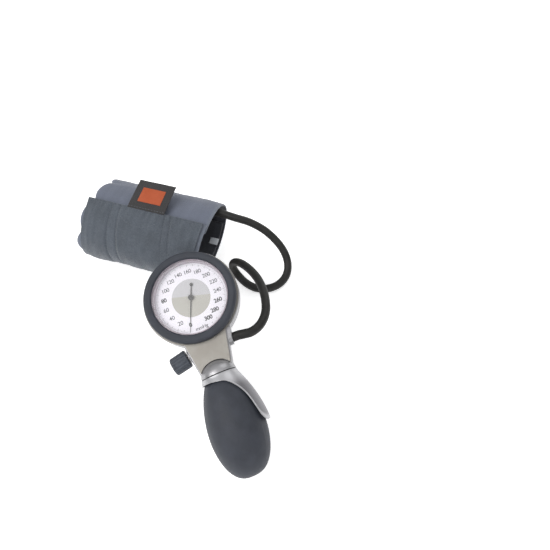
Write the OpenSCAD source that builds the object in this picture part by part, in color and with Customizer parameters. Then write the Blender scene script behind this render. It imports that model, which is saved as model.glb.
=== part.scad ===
// Palm-held aneroid blood pressure gauge with its bulb, air hose and rolled arm cuff, in millimetres.
// X runs along the cuff's roll, Y from the gauge's side to the far side, Z up. The origin lies on the
// floor, under the middle of the cuff. The gauge lies on its bulb and leans its head on the roll.

/* [Gauge head] */
// Outer diameter of the rubber shock ring
ring_d = 72.7; // [70:0.1:78]
// Radial width of the shock ring's face
ring_w = 6.85; // [6.4:0.05:8.4]
// Height of the shock ring over the front plate
ring_h = 6.4; // [6.2:0.1:8]
// How far the housing's rim stands out past the ring
rim_out = 1.35; // [0.8:0.05:2]
// Wall of the housing
shell_wall = 2.6; // [2.2:0.1:3]
// Radius that rounds the back edge of the head
head_round = 8; // [5:0.5:9]
// Thickness of the front plate
plate_t = 1.6; // [1.2:0.1:2]
// Wall of the case that holds the movement
case_wall = 1.2; // [1:0.1:1.4]
// Thickness of the clear lens
lens_t = 1.6; // [1.2:0.1:1.8]
// Width of the dark rim round the dial
bezel_w = 1.4; // [1:0.1:2]
// Thickness of the dial plate
dial_t = 0.8; // [0.5:0.1:1]

/* [Neck and collar] */
// Distance from the head's edge to the turning collar's parting line
neck_l = 24.5; // [24:0.5:30]
// Radius of the turning collar
collar_r = 13.7; // [13.4:0.1:15]
// How far the grip's axis lies under the front plate
axis_drop = 6; // [5.6:0.1:6.6]
// Length of the domed end of the neck
dome_l = 10.8; // [10.4:0.1:12]
// Half width of the neck where it leaves the head
neck_top_hw = 19.3; // [18.5:0.1:21]
// Thickness of the dark seal at the parting line
seal_t = 0.6; // [0.4:0.1:1]

/* [Air block and hose port] */
// Half width of the air block
block_hw = 8.5; // [8:0.1:8.8]
// Distance from the head's edge to the middle of the hose port
port_out = 2.8; // [2.4:0.1:4.2]
// Radius of the port's boss
boss_r = 5.3; // [5.2:0.1:6]
// Distance from the neck's middle to the end of the port
port_x = 18.7; // [18:0.1:20]
// Radius of the metal fitting in the port
fitting_r = 3.9; // [3.6:0.05:4]
// Radius of the air ways
air_r = 1.8; // [1:0.1:1.9]

/* [Bleed valve] */
// Distance from the head's edge to the foot of the knob
valve_out = 4.3; // [3.8:0.1:5.2]
// Distance from the neck's middle to the foot of the knob
valve_x = 17.5; // [17.2:0.1:19]
// Angle by which the knob leans towards the bulb
valve_lean = 11; // [6:0.5:14]
// Diameter of the knob
knob_d = 14.4; // [12:0.1:15]
// Length of the knob
knob_l = 13.4; // [11:0.1:15]
// Number of grooves round the knob
knob_grooves = 14; // [10:1:18]
// Radius of the valve's spindle
spindle_r = 1.5; // [1.2:0.05:1.6]
// Radius of the bush that the spindle turns in
bush_r = 4; // [3.8:0.05:4.2]

/* [Bulb and spoon] */
// Largest radius of the bulb
bulb_r = 21.5; // [20.5:0.1:22.5]
// Length of the bulb from the collar's parting line to its end
bulb_l = 73.8; // [70:0.2:78]
// Wall of the bulb
bulb_wall = 2.2; // [1.6:0.1:2.6]
// Angle by which the bulb leans away from the spoon
bulb_lean = 0.5; // [0:0.1:1.6]
// Wall of the collar and spoon
spoon_t = 1.1; // [0.9:0.05:1.2]
// Length of the spoon from the collar's parting line to its tip
spoon_l = 42.8; // [40:0.2:46]
// How far the spoon's tip stands out from the grip's axis
spoon_out = 24.7; // [24:0.1:26]
// Outer radius of the sleeve that the grip turns on
sleeve_r = 7.95; // [7.6:0.05:8]

/* [Movement] */
// Module of the gear teeth
tooth_module = 0.3; // [0.28:0.01:0.3]
// Teeth on the pinion
pinion_teeth = 12; // [12:1:12]
// Teeth that a full sector wheel would have
sector_teeth = 96; // [96:12:96]
// Distance from the rocking shaft's axis down to the pressure capsule
push_l = 2.8; // [2.8:0.1:4]
// Radius of the pressure capsule
capsule_r = 12; // [10:0.5:13]
// Height of the pressure capsule
capsule_h = 4; // [3.6:0.1:4]
// Radius of the pillars that carry the movement
pillar_r = 1.5; // [1.2:0.1:1.8]
// Length of the pointer from its centre to its tip
pointer_l = 26.6; // [24:0.2:27]
// Length of the pointer's tail
tail_l = 10.5; // [8:0.2:12]

/* [Cuff] */
// Width of the cuff, along the roll
cuff_l = 115; // [110:0.5:122]
// Half of the roll's depth, front to back
roll_a = 43.2; // [41:0.2:46]
// Half of the roll's height
roll_b = 30.7; // [29:0.1:33]
// Thickness of the cuff's outer cloth
cloth_t = 1; // [0.8:0.1:1.2]
// Thickness of the empty bladder
bladder_t = 1.2; // [1:0.1:1.4]
// Thickness of the cuff's lining
lining_t = 0.9; // [0.7:0.1:1.1]
// How far the lobes at the left end stand out
lobe_h = 5; // [3:0.5:6]
// Lobes round the left end
lobes = 8; // [7:1:9]
// Thickness of the front pocket
pocket_t = 0.9; // [0.7:0.1:1.2]
// Width of the label tab
label_w = 35.5; // [30:0.5:42]
// Length of the label tab
label_l = 30; // [24:0.5:33]

/* [Hose] */
// Outer diameter of the air hose
hose_d = 7.3; // [7:0.1:7.4]

/* [Lie] */
// Angle by which the gauge's face tips towards its bulb
gauge_tilt = 15.9; // [14:0.1:18]
// Angle between the gauge's width and the cuff's roll
gauge_turn = 39.6; // [36:0.2:43]
// Angle by which the gauge's side with the hose port is raised
gauge_roll = 7.5; // [5:0.5:9]
// Place of the dial's centre along the roll
gauge_along = 70.9; // [68:0.1:73]
// Gap between the head and the roll that it leans on
lean_gap = 0.4; // [0.3:0.05:0.8]

/* [Hidden] */

silver = [0.68, 0.67, 0.68];
champagne = [0.66, 0.64, 0.6];
slate = [0.26, 0.27, 0.31];
hose_black = [0.16, 0.16, 0.15];
panel_grey = [0.37, 0.4, 0.43];
lavender_grey = [0.45, 0.45, 0.53];
navy = [0.13, 0.14, 0.18];
brass = [0.72, 0.6, 0.32];

// Small clearances: a running fit, a fixed fit and an open gap
run_gap = 0.05;
fit_gap = 0.1;
open_gap = 0.3;
eps = 0.01;

head_r = ring_d / 2 + rim_out;
opening_r = ring_d / 2 - ring_w;
dial_show_r = opening_r - bezel_w;
case_r = opening_r + 2.5;
case_in_r = case_r - case_wall;
z_plate = -ring_h;
z_shell = z_plate - plate_t;
z_axis = z_plate - axis_drop;
// Distances from the dial's centre, down the neck
collar_u = head_r + neck_l;
port_u = head_r + port_out;
valve_u = head_r + valve_out;
bulb_end = collar_u + bulb_l;
spoon_end = collar_u + spoon_l;
// Radius of the pinion's and the sector's arbors
arbor_r = 0.6;

// Stack of the movement, from the dial down
dial_drop = 1.9;
dial_top = z_plate - dial_drop;
dial_under = dial_top - dial_t;
bridge_t = 1;
top_plate_z = dial_under - 2.1;
gear_t = 1;
gear_z = top_plate_z - 1.8;
bottom_plate_z = gear_z - 2.2;
rocker_z = bottom_plate_z - 2.2;
case_floor_t = 1.4;
bar_t = 2.4;
under_case = 0.4;
capsule_top_z = rocker_z - push_l;
capsule_base_z = capsule_top_z - capsule_h;
case_floor_z = capsule_base_z - bar_t;
z_back = case_floor_z - case_floor_t - under_case - shell_wall;
head_depth = z_plate - z_back;

function arc(cx, cy, r, from, to, n) =
    [for (i = [0:n]) let (a = from + (to - from) * i / n) [cx + r * cos(a), cy + r * sin(a)]];

// Rounded outline in X and Z: half width, low and high edge, radius of the low and high corners
function slab_outline(hw, low, high, r_low, r_high) = concat(
    arc(hw - r_high, high - r_high, r_high, 0, 90, 6),
    arc(r_high - hw, high - r_high, r_high, 90, 180, 6),
    arc(r_low - hw, low + r_low, r_low, 180, 270, 10),
    arc(hw - r_low, low + r_low, r_low, 270, 360, 10));

function unit(v) = v / norm(v);

// Cuff: one sheet rolled inwards from its hem, which lies on top of the roll
hem_angle = 97;
sheet_t = cloth_t + bladder_t + lining_t + 2 * fit_gap;
turn_gap = 0.5;
turn_pitch = sheet_t + turn_gap;
cut_flat = 0.5;
// The roll's middle stands so high that its lowest outer side is cut flat by the floor
roll_mid = roll_b - turn_pitch * (270 - hem_angle) / 360 - cut_flat;
function roll_point(a, deep) = let (
    d = deep + turn_pitch * (a - hem_angle) / 360,
    n = unit([cos(a) / roll_a, sin(a) / roll_b]))
    [roll_a * cos(a), roll_b * sin(a)] - d * n;
function band_outline(from, to, out, in) = let (n = ceil((to - from) / 5)) concat(
    [for (i = [0:n]) roll_point(from + (to - from) * i / n, out)],
    [for (i = [n:-1:0]) roll_point(from + (to - from) * i / n, in)]);

// Children stand at the dial's centre, with Y up the dial and Z out of its face
module place_gauge() {
    translate(gauge_at) rotate([gauge_tilt, 0, gauge_turn]) rotate([0, -gauge_roll, 0]) children();
}

// A profile of radius and distance from the dial, turned about the grip's axis
module turn_grip(sides = 96) {
    translate([0, 0, z_axis]) rotate([90, 0, 0]) rotate_extrude($fn = sides) children();
}

// A tube about the grip's axis between two distances from the dial
module grip_tube(from, to, r_out, r_in = 0) {
    translate([0, -from, z_axis]) rotate([90, 0, 0]) difference() {
        cylinder(h = to - from, r = r_out, $fn = 96);
        if (r_in > 0) translate([0, 0, -1]) cylinder(h = to - from + 2, r = r_in, $fn = 96);
    }
}

module ring_z(low, high, r_out, r_in) {
    translate([0, 0, low]) difference() {
        cylinder(h = high - low, r = r_out, $fn = 120);
        translate([0, 0, -1]) cylinder(h = high - low + 2, r = r_in, $fn = 120);
    }
}

// Children's Z runs out along the bleed valve's axis, from the foot of the knob
z_valve = z_axis - 1.6;
module place_valve() {
    translate([-valve_x, -valve_u, z_valve]) rotate([0, 0, 180 + valve_lean])
        rotate([0, 90, 0]) children();
}

// Children's Z runs out of the hose port, from the neck's middle
z_port = z_shell - fit_gap - boss_r;
module place_port() {
    translate([0, -port_u, z_port]) rotate([0, 90, 0]) children();
}

// The bulb's radius at a distance u from the dial, a skewed and filled-out sine
bulb_root = collar_u - 5.2;
bulb_skew = 1.22;
bulb_full = 0.36;
function bulb_at(u, r = bulb_r, trim = 0) = let (
    s = (u - bulb_root - trim) / (bulb_end - bulb_root - 2 * trim))
    s <= 0 || s >= 1 ? 0 : r * pow(sin(180 * pow(s, bulb_skew)), bulb_full);

// A point of the gauge as it lies, seen from the dial's centre
function gauge_way(p) = let (
    x = p[0] * cos(gauge_roll) - p[2] * sin(gauge_roll),
    up = p[0] * sin(gauge_roll) + p[2] * cos(gauge_roll),
    y = p[1] * cos(gauge_tilt) - up * sin(gauge_tilt),
    z = p[1] * sin(gauge_tilt) + up * cos(gauge_tilt))
    [x * cos(gauge_turn) - y * sin(gauge_turn), x * sin(gauge_turn) + y * cos(gauge_turn), z];

// The gauge rests on its bulb: lowest point of the bulb under its leaning axis
grip_from = collar_u + seal_t + fit_gap;
bulb_top = grip_from + 1.7;
bulb_low = min([for (u = [bulb_top:0.5:bulb_end])
    gauge_way([-(u - grip_from) * sin(bulb_lean), -u, z_axis])[2] - bulb_at(u) * cos(gauge_tilt)]);
gauge_lift = 0.05 - bulb_low;

// The head leans on the roll: how far its rounded back reaches over the roll's front
head_profile = concat([[head_r, z_shell]],
    arc(head_r - head_round, z_back + head_round, head_round, 360, 270, 12));
roll_face = [for (a = [hem_angle:2:hem_angle + 165]) roll_point(a, -pocket_t) + [0, roll_mid]];
// Only points at one height count, within half of the distance between the roll's points
same_height = 0.8;
gauge_over = max([for (p = head_profile, a = [20:4:160])
    let (q = gauge_way([p[0] * cos(a), p[0] * sin(a), p[1]]))
    if (q[0] + gauge_along < cuff_l / 2 + open_gap)
        for (f = roll_face) if (abs(q[2] + gauge_lift - f[1]) < same_height) q[1] - f[0]]);
gauge_at = [gauge_along, -gauge_over - lean_gap, gauge_lift];

// Neck between the head and the collar
neck_from = head_r - 13.7;
neck_to = collar_u - 1.6;
neck_low = z_back + 1.5;
neck_end_r = collar_r - 1;
cavity_hw = block_hw + fit_gap;
cavity_floor = z_axis - 11;
cavity_from = head_r - 7.7;
bearing_from = collar_u - 3.7;
clip_room_from = bearing_from - 2.3;
block_from = head_r - 1.7;
block_to = clip_room_from - 2.7;
block_l = block_to - block_from;
cavity_to = block_to + 0.6;
clip_r = sleeve_r + 1;
clip_t = 0.8;
screw_angles = [45, 135, 200, 340];
screw_ring_r = head_r - shell_wall - 0.5;
screw_r = 0.9;
screw_head_r = 1.7;
screw_recess_r = screw_head_r + fit_gap;
screw_boss_r = screw_recess_r + 0.6;
// Where the head's rounded back has come in to the outer side of a screw
screw_low = z_back + head_round
    - sqrt(pow(head_round, 2) - pow(screw_ring_r + screw_recess_r - head_r + head_round, 2));
filter_u = head_r + 8.3;
filter_r = 3;
screw_head_t = 1.4;

module dome_profile(grow = 0) {
    polygon(concat([[0, collar_u]],
        [for (i = [0:24]) let (a = 90 * i / 24)
            [(collar_r + grow) * cos(a), collar_u - (dome_l + grow) * sin(a)]]));
}

module neck_body() {
    hull() {
        translate([0, -neck_from, 0]) rotate([90, 0, 0]) linear_extrude(0.5)
            polygon(slab_outline(neck_top_hw, neck_low, z_shell, 8, 1));
        intersection() {
            translate([0, -neck_to, z_axis]) rotate([90, 0, 0])
                cylinder(h = 0.5, r = neck_end_r, $fn = 64);
            translate([-50, -neck_to - 10, z_shell - 60]) cube([100, 20, 60]);
        }
    }
}

// The boss that the hose leaves from, which thins out towards the ring
module port_boss() {
    hull() {
        place_port() translate([0, 0, port_x - 4]) cylinder(h = 4, r = boss_r, $fn = 48);
        translate([port_x - 3, -port_u + 16, z_port + 2]) rotate([0, 90, 0])
            cylinder(h = 6, r = 2.6, $fn = 32);
        place_port() cylinder(h = 4, r = boss_r, $fn = 48);
    }
}

module main_housing() {
    color(silver) place_gauge() difference() {
        union() {
            rotate_extrude($fn = 120) polygon(concat([[0, z_shell], [head_r, z_shell]],
                arc(head_r - head_round, z_back + head_round, head_round, 360, 270, 12),
                [[0, z_back]]));
            neck_body();
            port_boss();
            turn_grip() dome_profile();
            place_valve() translate([0, 0, -7]) cylinder(h = 6.2, r = bush_r + 1.3, $fn = 64);
        }
        // Room for the case, with a boss left for each screw
        difference() {
            translate([0, 0, z_back + shell_wall])
                cylinder(h = head_depth, r = head_r - shell_wall, $fn = 120);
            for (a = screw_angles) rotate([0, 0, a]) translate([screw_ring_r, 0, z_back])
                cylinder(h = head_depth + 5, r = screw_boss_r, $fn = 32);
        }
        // Room for the air block
        translate([-cavity_hw, -cavity_to, cavity_floor])
            cube([2 * cavity_hw, cavity_to - cavity_from, z_shell - cavity_floor + 1]);
        grip_tube(cavity_to - 1, clip_room_from + 1, 3.2);
        grip_tube(clip_room_from, bearing_from, clip_r + open_gap);
        grip_tube(bearing_from - 1, collar_u + 1, sleeve_r + run_gap);
        place_port() cylinder(h = port_x + 5, r = fitting_r + fit_gap, $fn = 64);
        place_valve() translate([0, 0, -14]) cylinder(h = 14, r = bush_r + fit_gap, $fn = 64);
        for (a = screw_angles) rotate([0, 0, a]) translate([screw_ring_r, 0, z_back - 1]) {
            cylinder(h = head_depth + 1, r = screw_r + fit_gap, $fn = 32);
            cylinder(h = screw_low - z_back + screw_head_t + 1 + fit_gap, r = screw_recess_r, $fn = 32);
        }
        translate([0, -filter_u, z_back - 5]) cylinder(h = 20, r = filter_r, $fn = 48);
    }
}

module housing_screws() {
    color(brass) place_gauge() for (a = screw_angles) rotate([0, 0, a])
        translate([screw_ring_r, 0, screw_low]) difference() {
            union() {
                cylinder(h = z_shell + 1.2 - screw_low, r = screw_r, $fn = 32);
                cylinder(h = screw_head_t, r = screw_head_r, $fn = 32);
            }
            translate([-2, -0.25, -1]) cube([4, 0.5, 1.6]);
        }
}

// The plate covers the head and the neck, up to the dome, and leaves the housing's edge in sight
plate_inset = 1;
plate_hw_top = neck_top_hw - plate_inset;
plate_hw_end = neck_end_r - plate_inset;
dome_edge_n = 20;
function dome_edge(x, grow) = let (
    z = axis_drop - plate_t,
    q = (x * x + z * z) / pow(collar_r + grow, 2))
    -(collar_u - (dome_l + grow) * sqrt(max(0, 1 - q)));

module front_plate() {
    color(champagne) place_gauge() translate([0, 0, z_shell]) difference() {
        linear_extrude(plate_t) union() {
            circle(r = head_r - 0.5, $fn = 120);
            polygon(concat([[-plate_hw_top, -neck_from]],
                [for (i = [0:dome_edge_n]) let (x = plate_hw_end * sin(180 * i / dome_edge_n - 90))
                    [x, dome_edge(x, 2 * fit_gap)]],
                [[plate_hw_top, -neck_from]]));
        }
        translate([0, 0, -1]) cylinder(h = plate_t + 2, r = case_r + fit_gap, $fn = 120);
        for (a = screw_angles) rotate([0, 0, a]) translate([screw_ring_r, 0, -1])
            cylinder(h = 2.3, r = screw_r + fit_gap, $fn = 32);
    }
}

// Levels under the shock ring: the case's flange, the bezel's flange and the lens's ledge
flange_t = 1.2;
bezel_flange_z = z_plate + flange_t;
bezel_flange_top = bezel_flange_z + flange_t;
lens_z = bezel_flange_top + 0.3;
bezel_top = lens_z + lens_t + 0.4;
bezel_lip_r = opening_r + 1.1;
flange_r = case_r + 1.4;
ring_lip_z = bezel_top + fit_gap;

module shock_ring() {
    face = 2.6;
    edge = 2.2;
    color(slate) place_gauge() rotate_extrude($fn = 120) polygon(concat(
        [[ring_d / 2, z_plate], [ring_d / 2 + 0.1, z_plate / 2]],
        arc(ring_d / 2 - face, -face, face, 0, 90, 8),
        [[opening_r + edge, -0.3]],
        arc(opening_r + edge - 0.6, -1, 0.7, 90, 170, 4),
        [[opening_r, ring_lip_z], [bezel_lip_r + fit_gap, ring_lip_z],
         [bezel_lip_r + fit_gap, bezel_flange_top + fit_gap],
         [flange_r + fit_gap, bezel_flange_top + fit_gap], [flange_r + fit_gap, z_plate]]));
}

module bezel_ring() {
    color([0.62, 0.58, 0.63]) place_gauge() rotate_extrude($fn = 120) polygon([
        [flange_r, bezel_flange_z], [flange_r, bezel_flange_top],
        [bezel_lip_r, bezel_flange_top], [bezel_lip_r, bezel_top],
        [opening_r + fit_gap, bezel_top], [opening_r + fit_gap, lens_z],
        [dial_show_r + 0.5, lens_z], [dial_show_r, dial_top + 0.1],
        [case_in_r - 0.3, dial_top + 0.1], [case_in_r - 0.3, bezel_flange_z]]);
}

module lens() {
    color([0.9, 0.93, 0.95, 0.3]) place_gauge() rotate_extrude($fn = 120) polygon([
        [0, lens_z], [opening_r, lens_z], [opening_r, lens_z + lens_t - 0.3],
        [opening_r - 0.3, lens_z + lens_t], [0, lens_z + lens_t]]);
}

module dial_plate() {
    color([0.93, 0.92, 0.95]) place_gauge()
        ring_z(dial_under, dial_top, case_in_r - fit_gap, 1.2);
}

// Pointer at zero, a little to the left of the neck; its tail carries a round balance spot
zero_angle = 250;
pointer_z = dial_top + 0.6;
pointer_t = 0.3;
hub_r = 2.2;
module pointer() {
    half_w = 0.3;
    spot_r = 1.4;
    color([0.12, 0.12, 0.14]) place_gauge() rotate([0, 0, zero_angle]) translate([0, 0, pointer_z])
        linear_extrude(pointer_t) difference() {
            union() {
                polygon([[-tail_l, -half_w], [0, -1.6 * half_w], [pointer_l, -0.4 * half_w],
                    [pointer_l, 0.4 * half_w], [0, 1.6 * half_w], [-tail_l, half_w]]);
                translate([-tail_l, 0]) circle(r = spot_r, $fn = 48);
                circle(r = hub_r - 0.4, $fn = 48);
            }
            circle(r = arbor_r, $fn = 32);
        }
}

module pointer_hub() {
    color([0.08, 0.08, 0.08]) place_gauge() difference() {
        translate([0, 0, pointer_z + pointer_t]) cylinder(h = 1.1, r = hub_r, $fn = 64);
        cylinder(h = 100, r = arbor_r, center = true, $fn = 32);
    }
}

// The movement case drops through the plate's hole and hangs by its flange
module gauge_case() {
    color([0.6, 0.6, 0.62]) place_gauge() difference() {
        union() {
            translate([0, 0, case_floor_z - case_floor_t])
                cylinder(h = bezel_flange_z - case_floor_z + case_floor_t - eps, r = case_r, $fn = 120);
            translate([0, 0, z_plate]) cylinder(h = flange_t - eps, r = flange_r, $fn = 120);
        }
        translate([0, 0, case_floor_z]) cylinder(h = 60, r = case_in_r, $fn = 120);
        translate([bar_x - bar_hw - fit_gap, -case_r - 2, case_floor_z])
            cube([2 * (bar_hw + fit_gap), 12, bar_t + fit_gap]);
    }
}

// Pillars stand on the case's floor, carry both plates and hold the dial up
pillar_ring_r = 23;
pillar_angles = [30, 150, 270];
sector_pitch_r = tooth_module * sector_teeth / 2;
pinion_pitch_r = tooth_module * pinion_teeth / 2;
gear_apart = sector_pitch_r + pinion_pitch_r;

module at_pillars() {
    for (a = pillar_angles) rotate([0, 0, a]) translate([pillar_ring_r, 0, 0]) children();
}

module movement_pillars() {
    color(brass) place_gauge() at_pillars() translate([0, 0, case_floor_z])
        cylinder(h = dial_under - case_floor_z, r = pillar_r, $fn = 32);
}

// A three-armed bridge with a bearing for each arbor
module bridge(z) {
    translate([0, 0, z]) difference() {
        union() {
            cylinder(h = bridge_t, r = 9, $fn = 64);
            translate([-gear_apart, 0, 0]) cylinder(h = bridge_t, r = 4.5, $fn = 48);
            translate([-gear_apart, -4, 0]) cube([gear_apart, 8, bridge_t]);
            for (a = pillar_angles) rotate([0, 0, a]) {
                translate([0, -3, 0]) cube([pillar_ring_r, 6, bridge_t]);
                translate([pillar_ring_r, 0, 0]) cylinder(h = bridge_t, r = 3, $fn = 48);
            }
        }
        at_pillars() translate([0, 0, -1]) cylinder(h = bridge_t + 2, r = pillar_r, $fn = 32);
        for (x = [0, -gear_apart]) translate([x, 0, -1])
            cylinder(h = bridge_t + 2, r = arbor_r + run_gap, $fn = 32);
        children();
    }
}

module movement_top_plate() {
    color(brass) place_gauge() bridge(top_plate_z);
}

// The rocking shaft hangs under the lower plate, between two ears
follower_l = 2;
follower_r = 0.4;
follower_rest = 70;
rocker_x = -gear_apart + follower_r + 0.9;
rocker_arm_l = 5;
rocker_arm_hw = 0.5;
rocker_hy = 4;
rocker_r = 0.7;
// Half of the rocking shaft's swing, by which its long arm hangs at rest
rocker_rest = 12.4;
ear_t = 1;
// Slot in the lower plate for the short arm and the sector's follower pin
slot_from = [rocker_x - 2.7, 1.1];
slot_size = [4.2, 1.8];

module movement_bottom_plate() {
    color(brass) place_gauge() difference() {
        union() {
            bridge(bottom_plate_z)
                translate([slot_from[0], slot_from[1], -1]) cube([slot_size[0], slot_size[1], bridge_t + 2]);
            for (y = [-rocker_hy - ear_t, rocker_hy - eps]) translate([rocker_x - 1.6, y, rocker_z - 1.6])
                cube([3.2, ear_t + eps, bottom_plate_z - rocker_z + 1.6 + eps]);
            for (y = [-rocker_hy - ear_t, 3]) translate([rocker_x - 2.4, y, bottom_plate_z])
                cube([6, 2, bridge_t]);
        }
        translate([rocker_x, rocker_hy + 3, rocker_z]) rotate([90, 0, 0])
            cylinder(h = 2 * rocker_hy + 6, r = rocker_r + run_gap, $fn = 32);
    }
}

// One straight-flanked tooth that points along X, from inside the rim to its tip
tooth_half = tooth_module * 0.62;
tooth_up = tooth_module * 0.8;
tooth_down = tooth_module * 1.1;
flank = tan(25);
module tooth(pitch_r) {
    polygon([
        [pitch_r - tooth_down - 0.2, -tooth_half - tooth_down * flank],
        [pitch_r - tooth_down, -tooth_half - tooth_down * flank],
        [pitch_r + tooth_up, -tooth_half + tooth_up * flank],
        [pitch_r + tooth_up, tooth_half - tooth_up * flank],
        [pitch_r - tooth_down, tooth_half + tooth_down * flank],
        [pitch_r - tooth_down - 0.2, tooth_half + tooth_down * flank]]);
}

module pinion_shaft() {
    color(brass) place_gauge() union() {
        translate([0, 0, bottom_plate_z - 0.5])
            cylinder(h = dial_top + 1.9 - bottom_plate_z, r = arbor_r, $fn = 32);
        translate([0, 0, gear_z - 0.3]) linear_extrude(gear_t + 0.6) union() {
            circle(r = pinion_pitch_r - tooth_down, $fn = 48);
            for (i = [0:pinion_teeth - 1])
                rotate(180 + (i + 0.5) * 360 / pinion_teeth) tooth(pinion_pitch_r);
        }
    }
}

// The toothed fan swings 40 degrees and turns the pinion 320 degrees
sector_from = -11;
sector_to = 1;
module sector_gear() {
    tooth_turn = 360 / sector_teeth;
    rim_r = sector_pitch_r - tooth_down;
    color(brass) place_gauge() translate([-gear_apart, 0, 0]) union() {
        translate([0, 0, bottom_plate_z - 0.5])
            cylinder(h = top_plate_z + bridge_t + 1 - bottom_plate_z, r = arbor_r, $fn = 32);
        translate([0, 0, gear_z]) linear_extrude(gear_t) difference() {
            union() {
                circle(r = follower_l + follower_r + 0.3, $fn = 48);
                polygon(concat([[0, 0]],
                    arc(0, 0, rim_r, (sector_from - 0.6) * tooth_turn, (sector_to + 0.6) * tooth_turn, 24)));
                for (i = [sector_from:sector_to]) rotate(i * tooth_turn) tooth(sector_pitch_r);
            }
            polygon(concat(
                arc(0, 0, rim_r - 1.4, (sector_from + 1.2) * tooth_turn, (sector_to - 1.2) * tooth_turn, 16),
                arc(0, 0, 4.5, (sector_to - 2.6) * tooth_turn, (sector_from + 2.6) * tooth_turn, 6)));
        }
        rotate([0, 0, follower_rest]) translate([follower_l, 0, bottom_plate_z + 0.2])
            cylinder(h = gear_z + gear_t - bottom_plate_z - 0.2, r = follower_r, $fn = 24);
    }
}

module rocking_shaft() {
    color(brass) place_gauge() translate([rocker_x, 0, rocker_z]) union() {
        translate([0, rocker_hy + ear_t, 0]) rotate([90, 0, 0])
            cylinder(h = 2 * (rocker_hy + ear_t), r = rocker_r, $fn = 32);
        rotate([0, rocker_rest, 0]) {
            translate([0, -0.8, -rocker_arm_hw]) cube([rocker_arm_l + 0.6, 1.6, 2 * rocker_arm_hw]);
            translate([-rocker_arm_hw, 1.4, 0])
                cube([2 * rocker_arm_hw, 1.2, gear_z - rocker_z - 0.3]);
        }
    }
}

// The capsule's centre lifts the pin, which lifts the rocking shaft's long arm
pin_x = rocker_x + rocker_arm_l;
pin_r = 0.5;
pin_top = rocker_z - (rocker_arm_l + pin_r) * tan(rocker_rest) - rocker_arm_hw / cos(rocker_rest) - 0.08;
module push_pin() {
    color(brass) place_gauge() translate([pin_x, 0, 0]) union() {
        translate([0, 0, capsule_top_z + fit_gap])
            cylinder(h = pin_top - capsule_top_z - fit_gap, r = pin_r, $fn = 32);
        translate([0, 0, capsule_top_z + fit_gap]) cylinder(h = 0.5, r = 2, $fn = 48);
    }
}

module pressure_capsule() {
    waves = 4;
    steps = 32;
    wave_h = 0.22;
    half = capsule_h / 2;
    function skin(i, side) = let (r = capsule_r * i / steps)
        [r, half + side * (half - 0.35 - (i == steps ? 0.6 : 0) + wave_h * cos(360 * waves * i / steps))];
    color([0.78, 0.7, 0.45]) place_gauge() translate([pin_x, 0, capsule_base_z])
        rotate_extrude($fn = 72) polygon(concat(
            [[0, 0], [2.2, 0], [2.2, 0.2]],
            [for (i = [7:steps]) skin(i, -1)], [for (i = [steps:-1:7]) skin(i, 1)],
            [[2.2, capsule_h - 0.2], [2.2, capsule_h], [0, capsule_h]]));
}

// A drilled bar carries the capsule. It steps aside, leaves the case through a slot, rises behind
// the case and takes the air over from the block.
bar_x = -4;
bar_hw = 2.2;
bar_hole_r = 0.6;
bar_step_y = -21.5;
riser_from = head_r - shell_wall - 1.1;
nose_z = z_axis - 1.1;
module capsule_bar() {
    bar_mid_z = case_floor_z + bar_t / 2;
    riser_t = riser_from - case_r - fit_gap;
    color(brass) place_gauge() difference() {
        union() {
            translate([pin_x - bar_hw, bar_step_y - bar_hw, case_floor_z])
                cube([2 * bar_hw, 4 - bar_step_y + bar_hw, bar_t - fit_gap]);
            translate([pin_x - bar_hw, bar_step_y - bar_hw, case_floor_z])
                cube([bar_x - pin_x + 2 * bar_hw, 2 * bar_hw, bar_t - fit_gap]);
            translate([bar_x - bar_hw, -riser_from, case_floor_z])
                cube([2 * bar_hw, riser_from + bar_step_y, bar_t - fit_gap]);
            translate([bar_x - bar_hw, -riser_from, case_floor_z])
                cube([2 * bar_hw, riser_t, nose_z + 2 - case_floor_z]);
            translate([bar_x - bar_hw, -block_from + fit_gap, nose_z - 2])
                cube([2 * bar_hw, block_from - riser_from + riser_t - fit_gap, 4]);
        }
        translate([pin_x, 0, bar_mid_z]) cylinder(h = bar_t, r = bar_hole_r, $fn = 24);
        translate([pin_x, 0, bar_mid_z]) rotate([90, 0, 0])
            cylinder(h = -bar_step_y + bar_hole_r, r = bar_hole_r, $fn = 24);
        translate([pin_x, bar_step_y, bar_mid_z]) rotate([0, 90, 0])
            cylinder(h = bar_x - pin_x, r = bar_hole_r, $fn = 24);
        translate([bar_x, bar_step_y, bar_mid_z]) rotate([90, 0, 0])
            cylinder(h = riser_from - riser_t / 2 + bar_step_y, r = bar_hole_r, $fn = 24);
        translate([bar_x, -riser_from + riser_t / 2, bar_mid_z - bar_hole_r])
            cylinder(h = nose_z - bar_mid_z + bar_hole_r, r = bar_hole_r, $fn = 24);
        translate([bar_x, -riser_from + riser_t / 2, nose_z]) rotate([90, 0, 0])
            cylinder(h = block_from, r = bar_hole_r, $fn = 24);
    }
}

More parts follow.
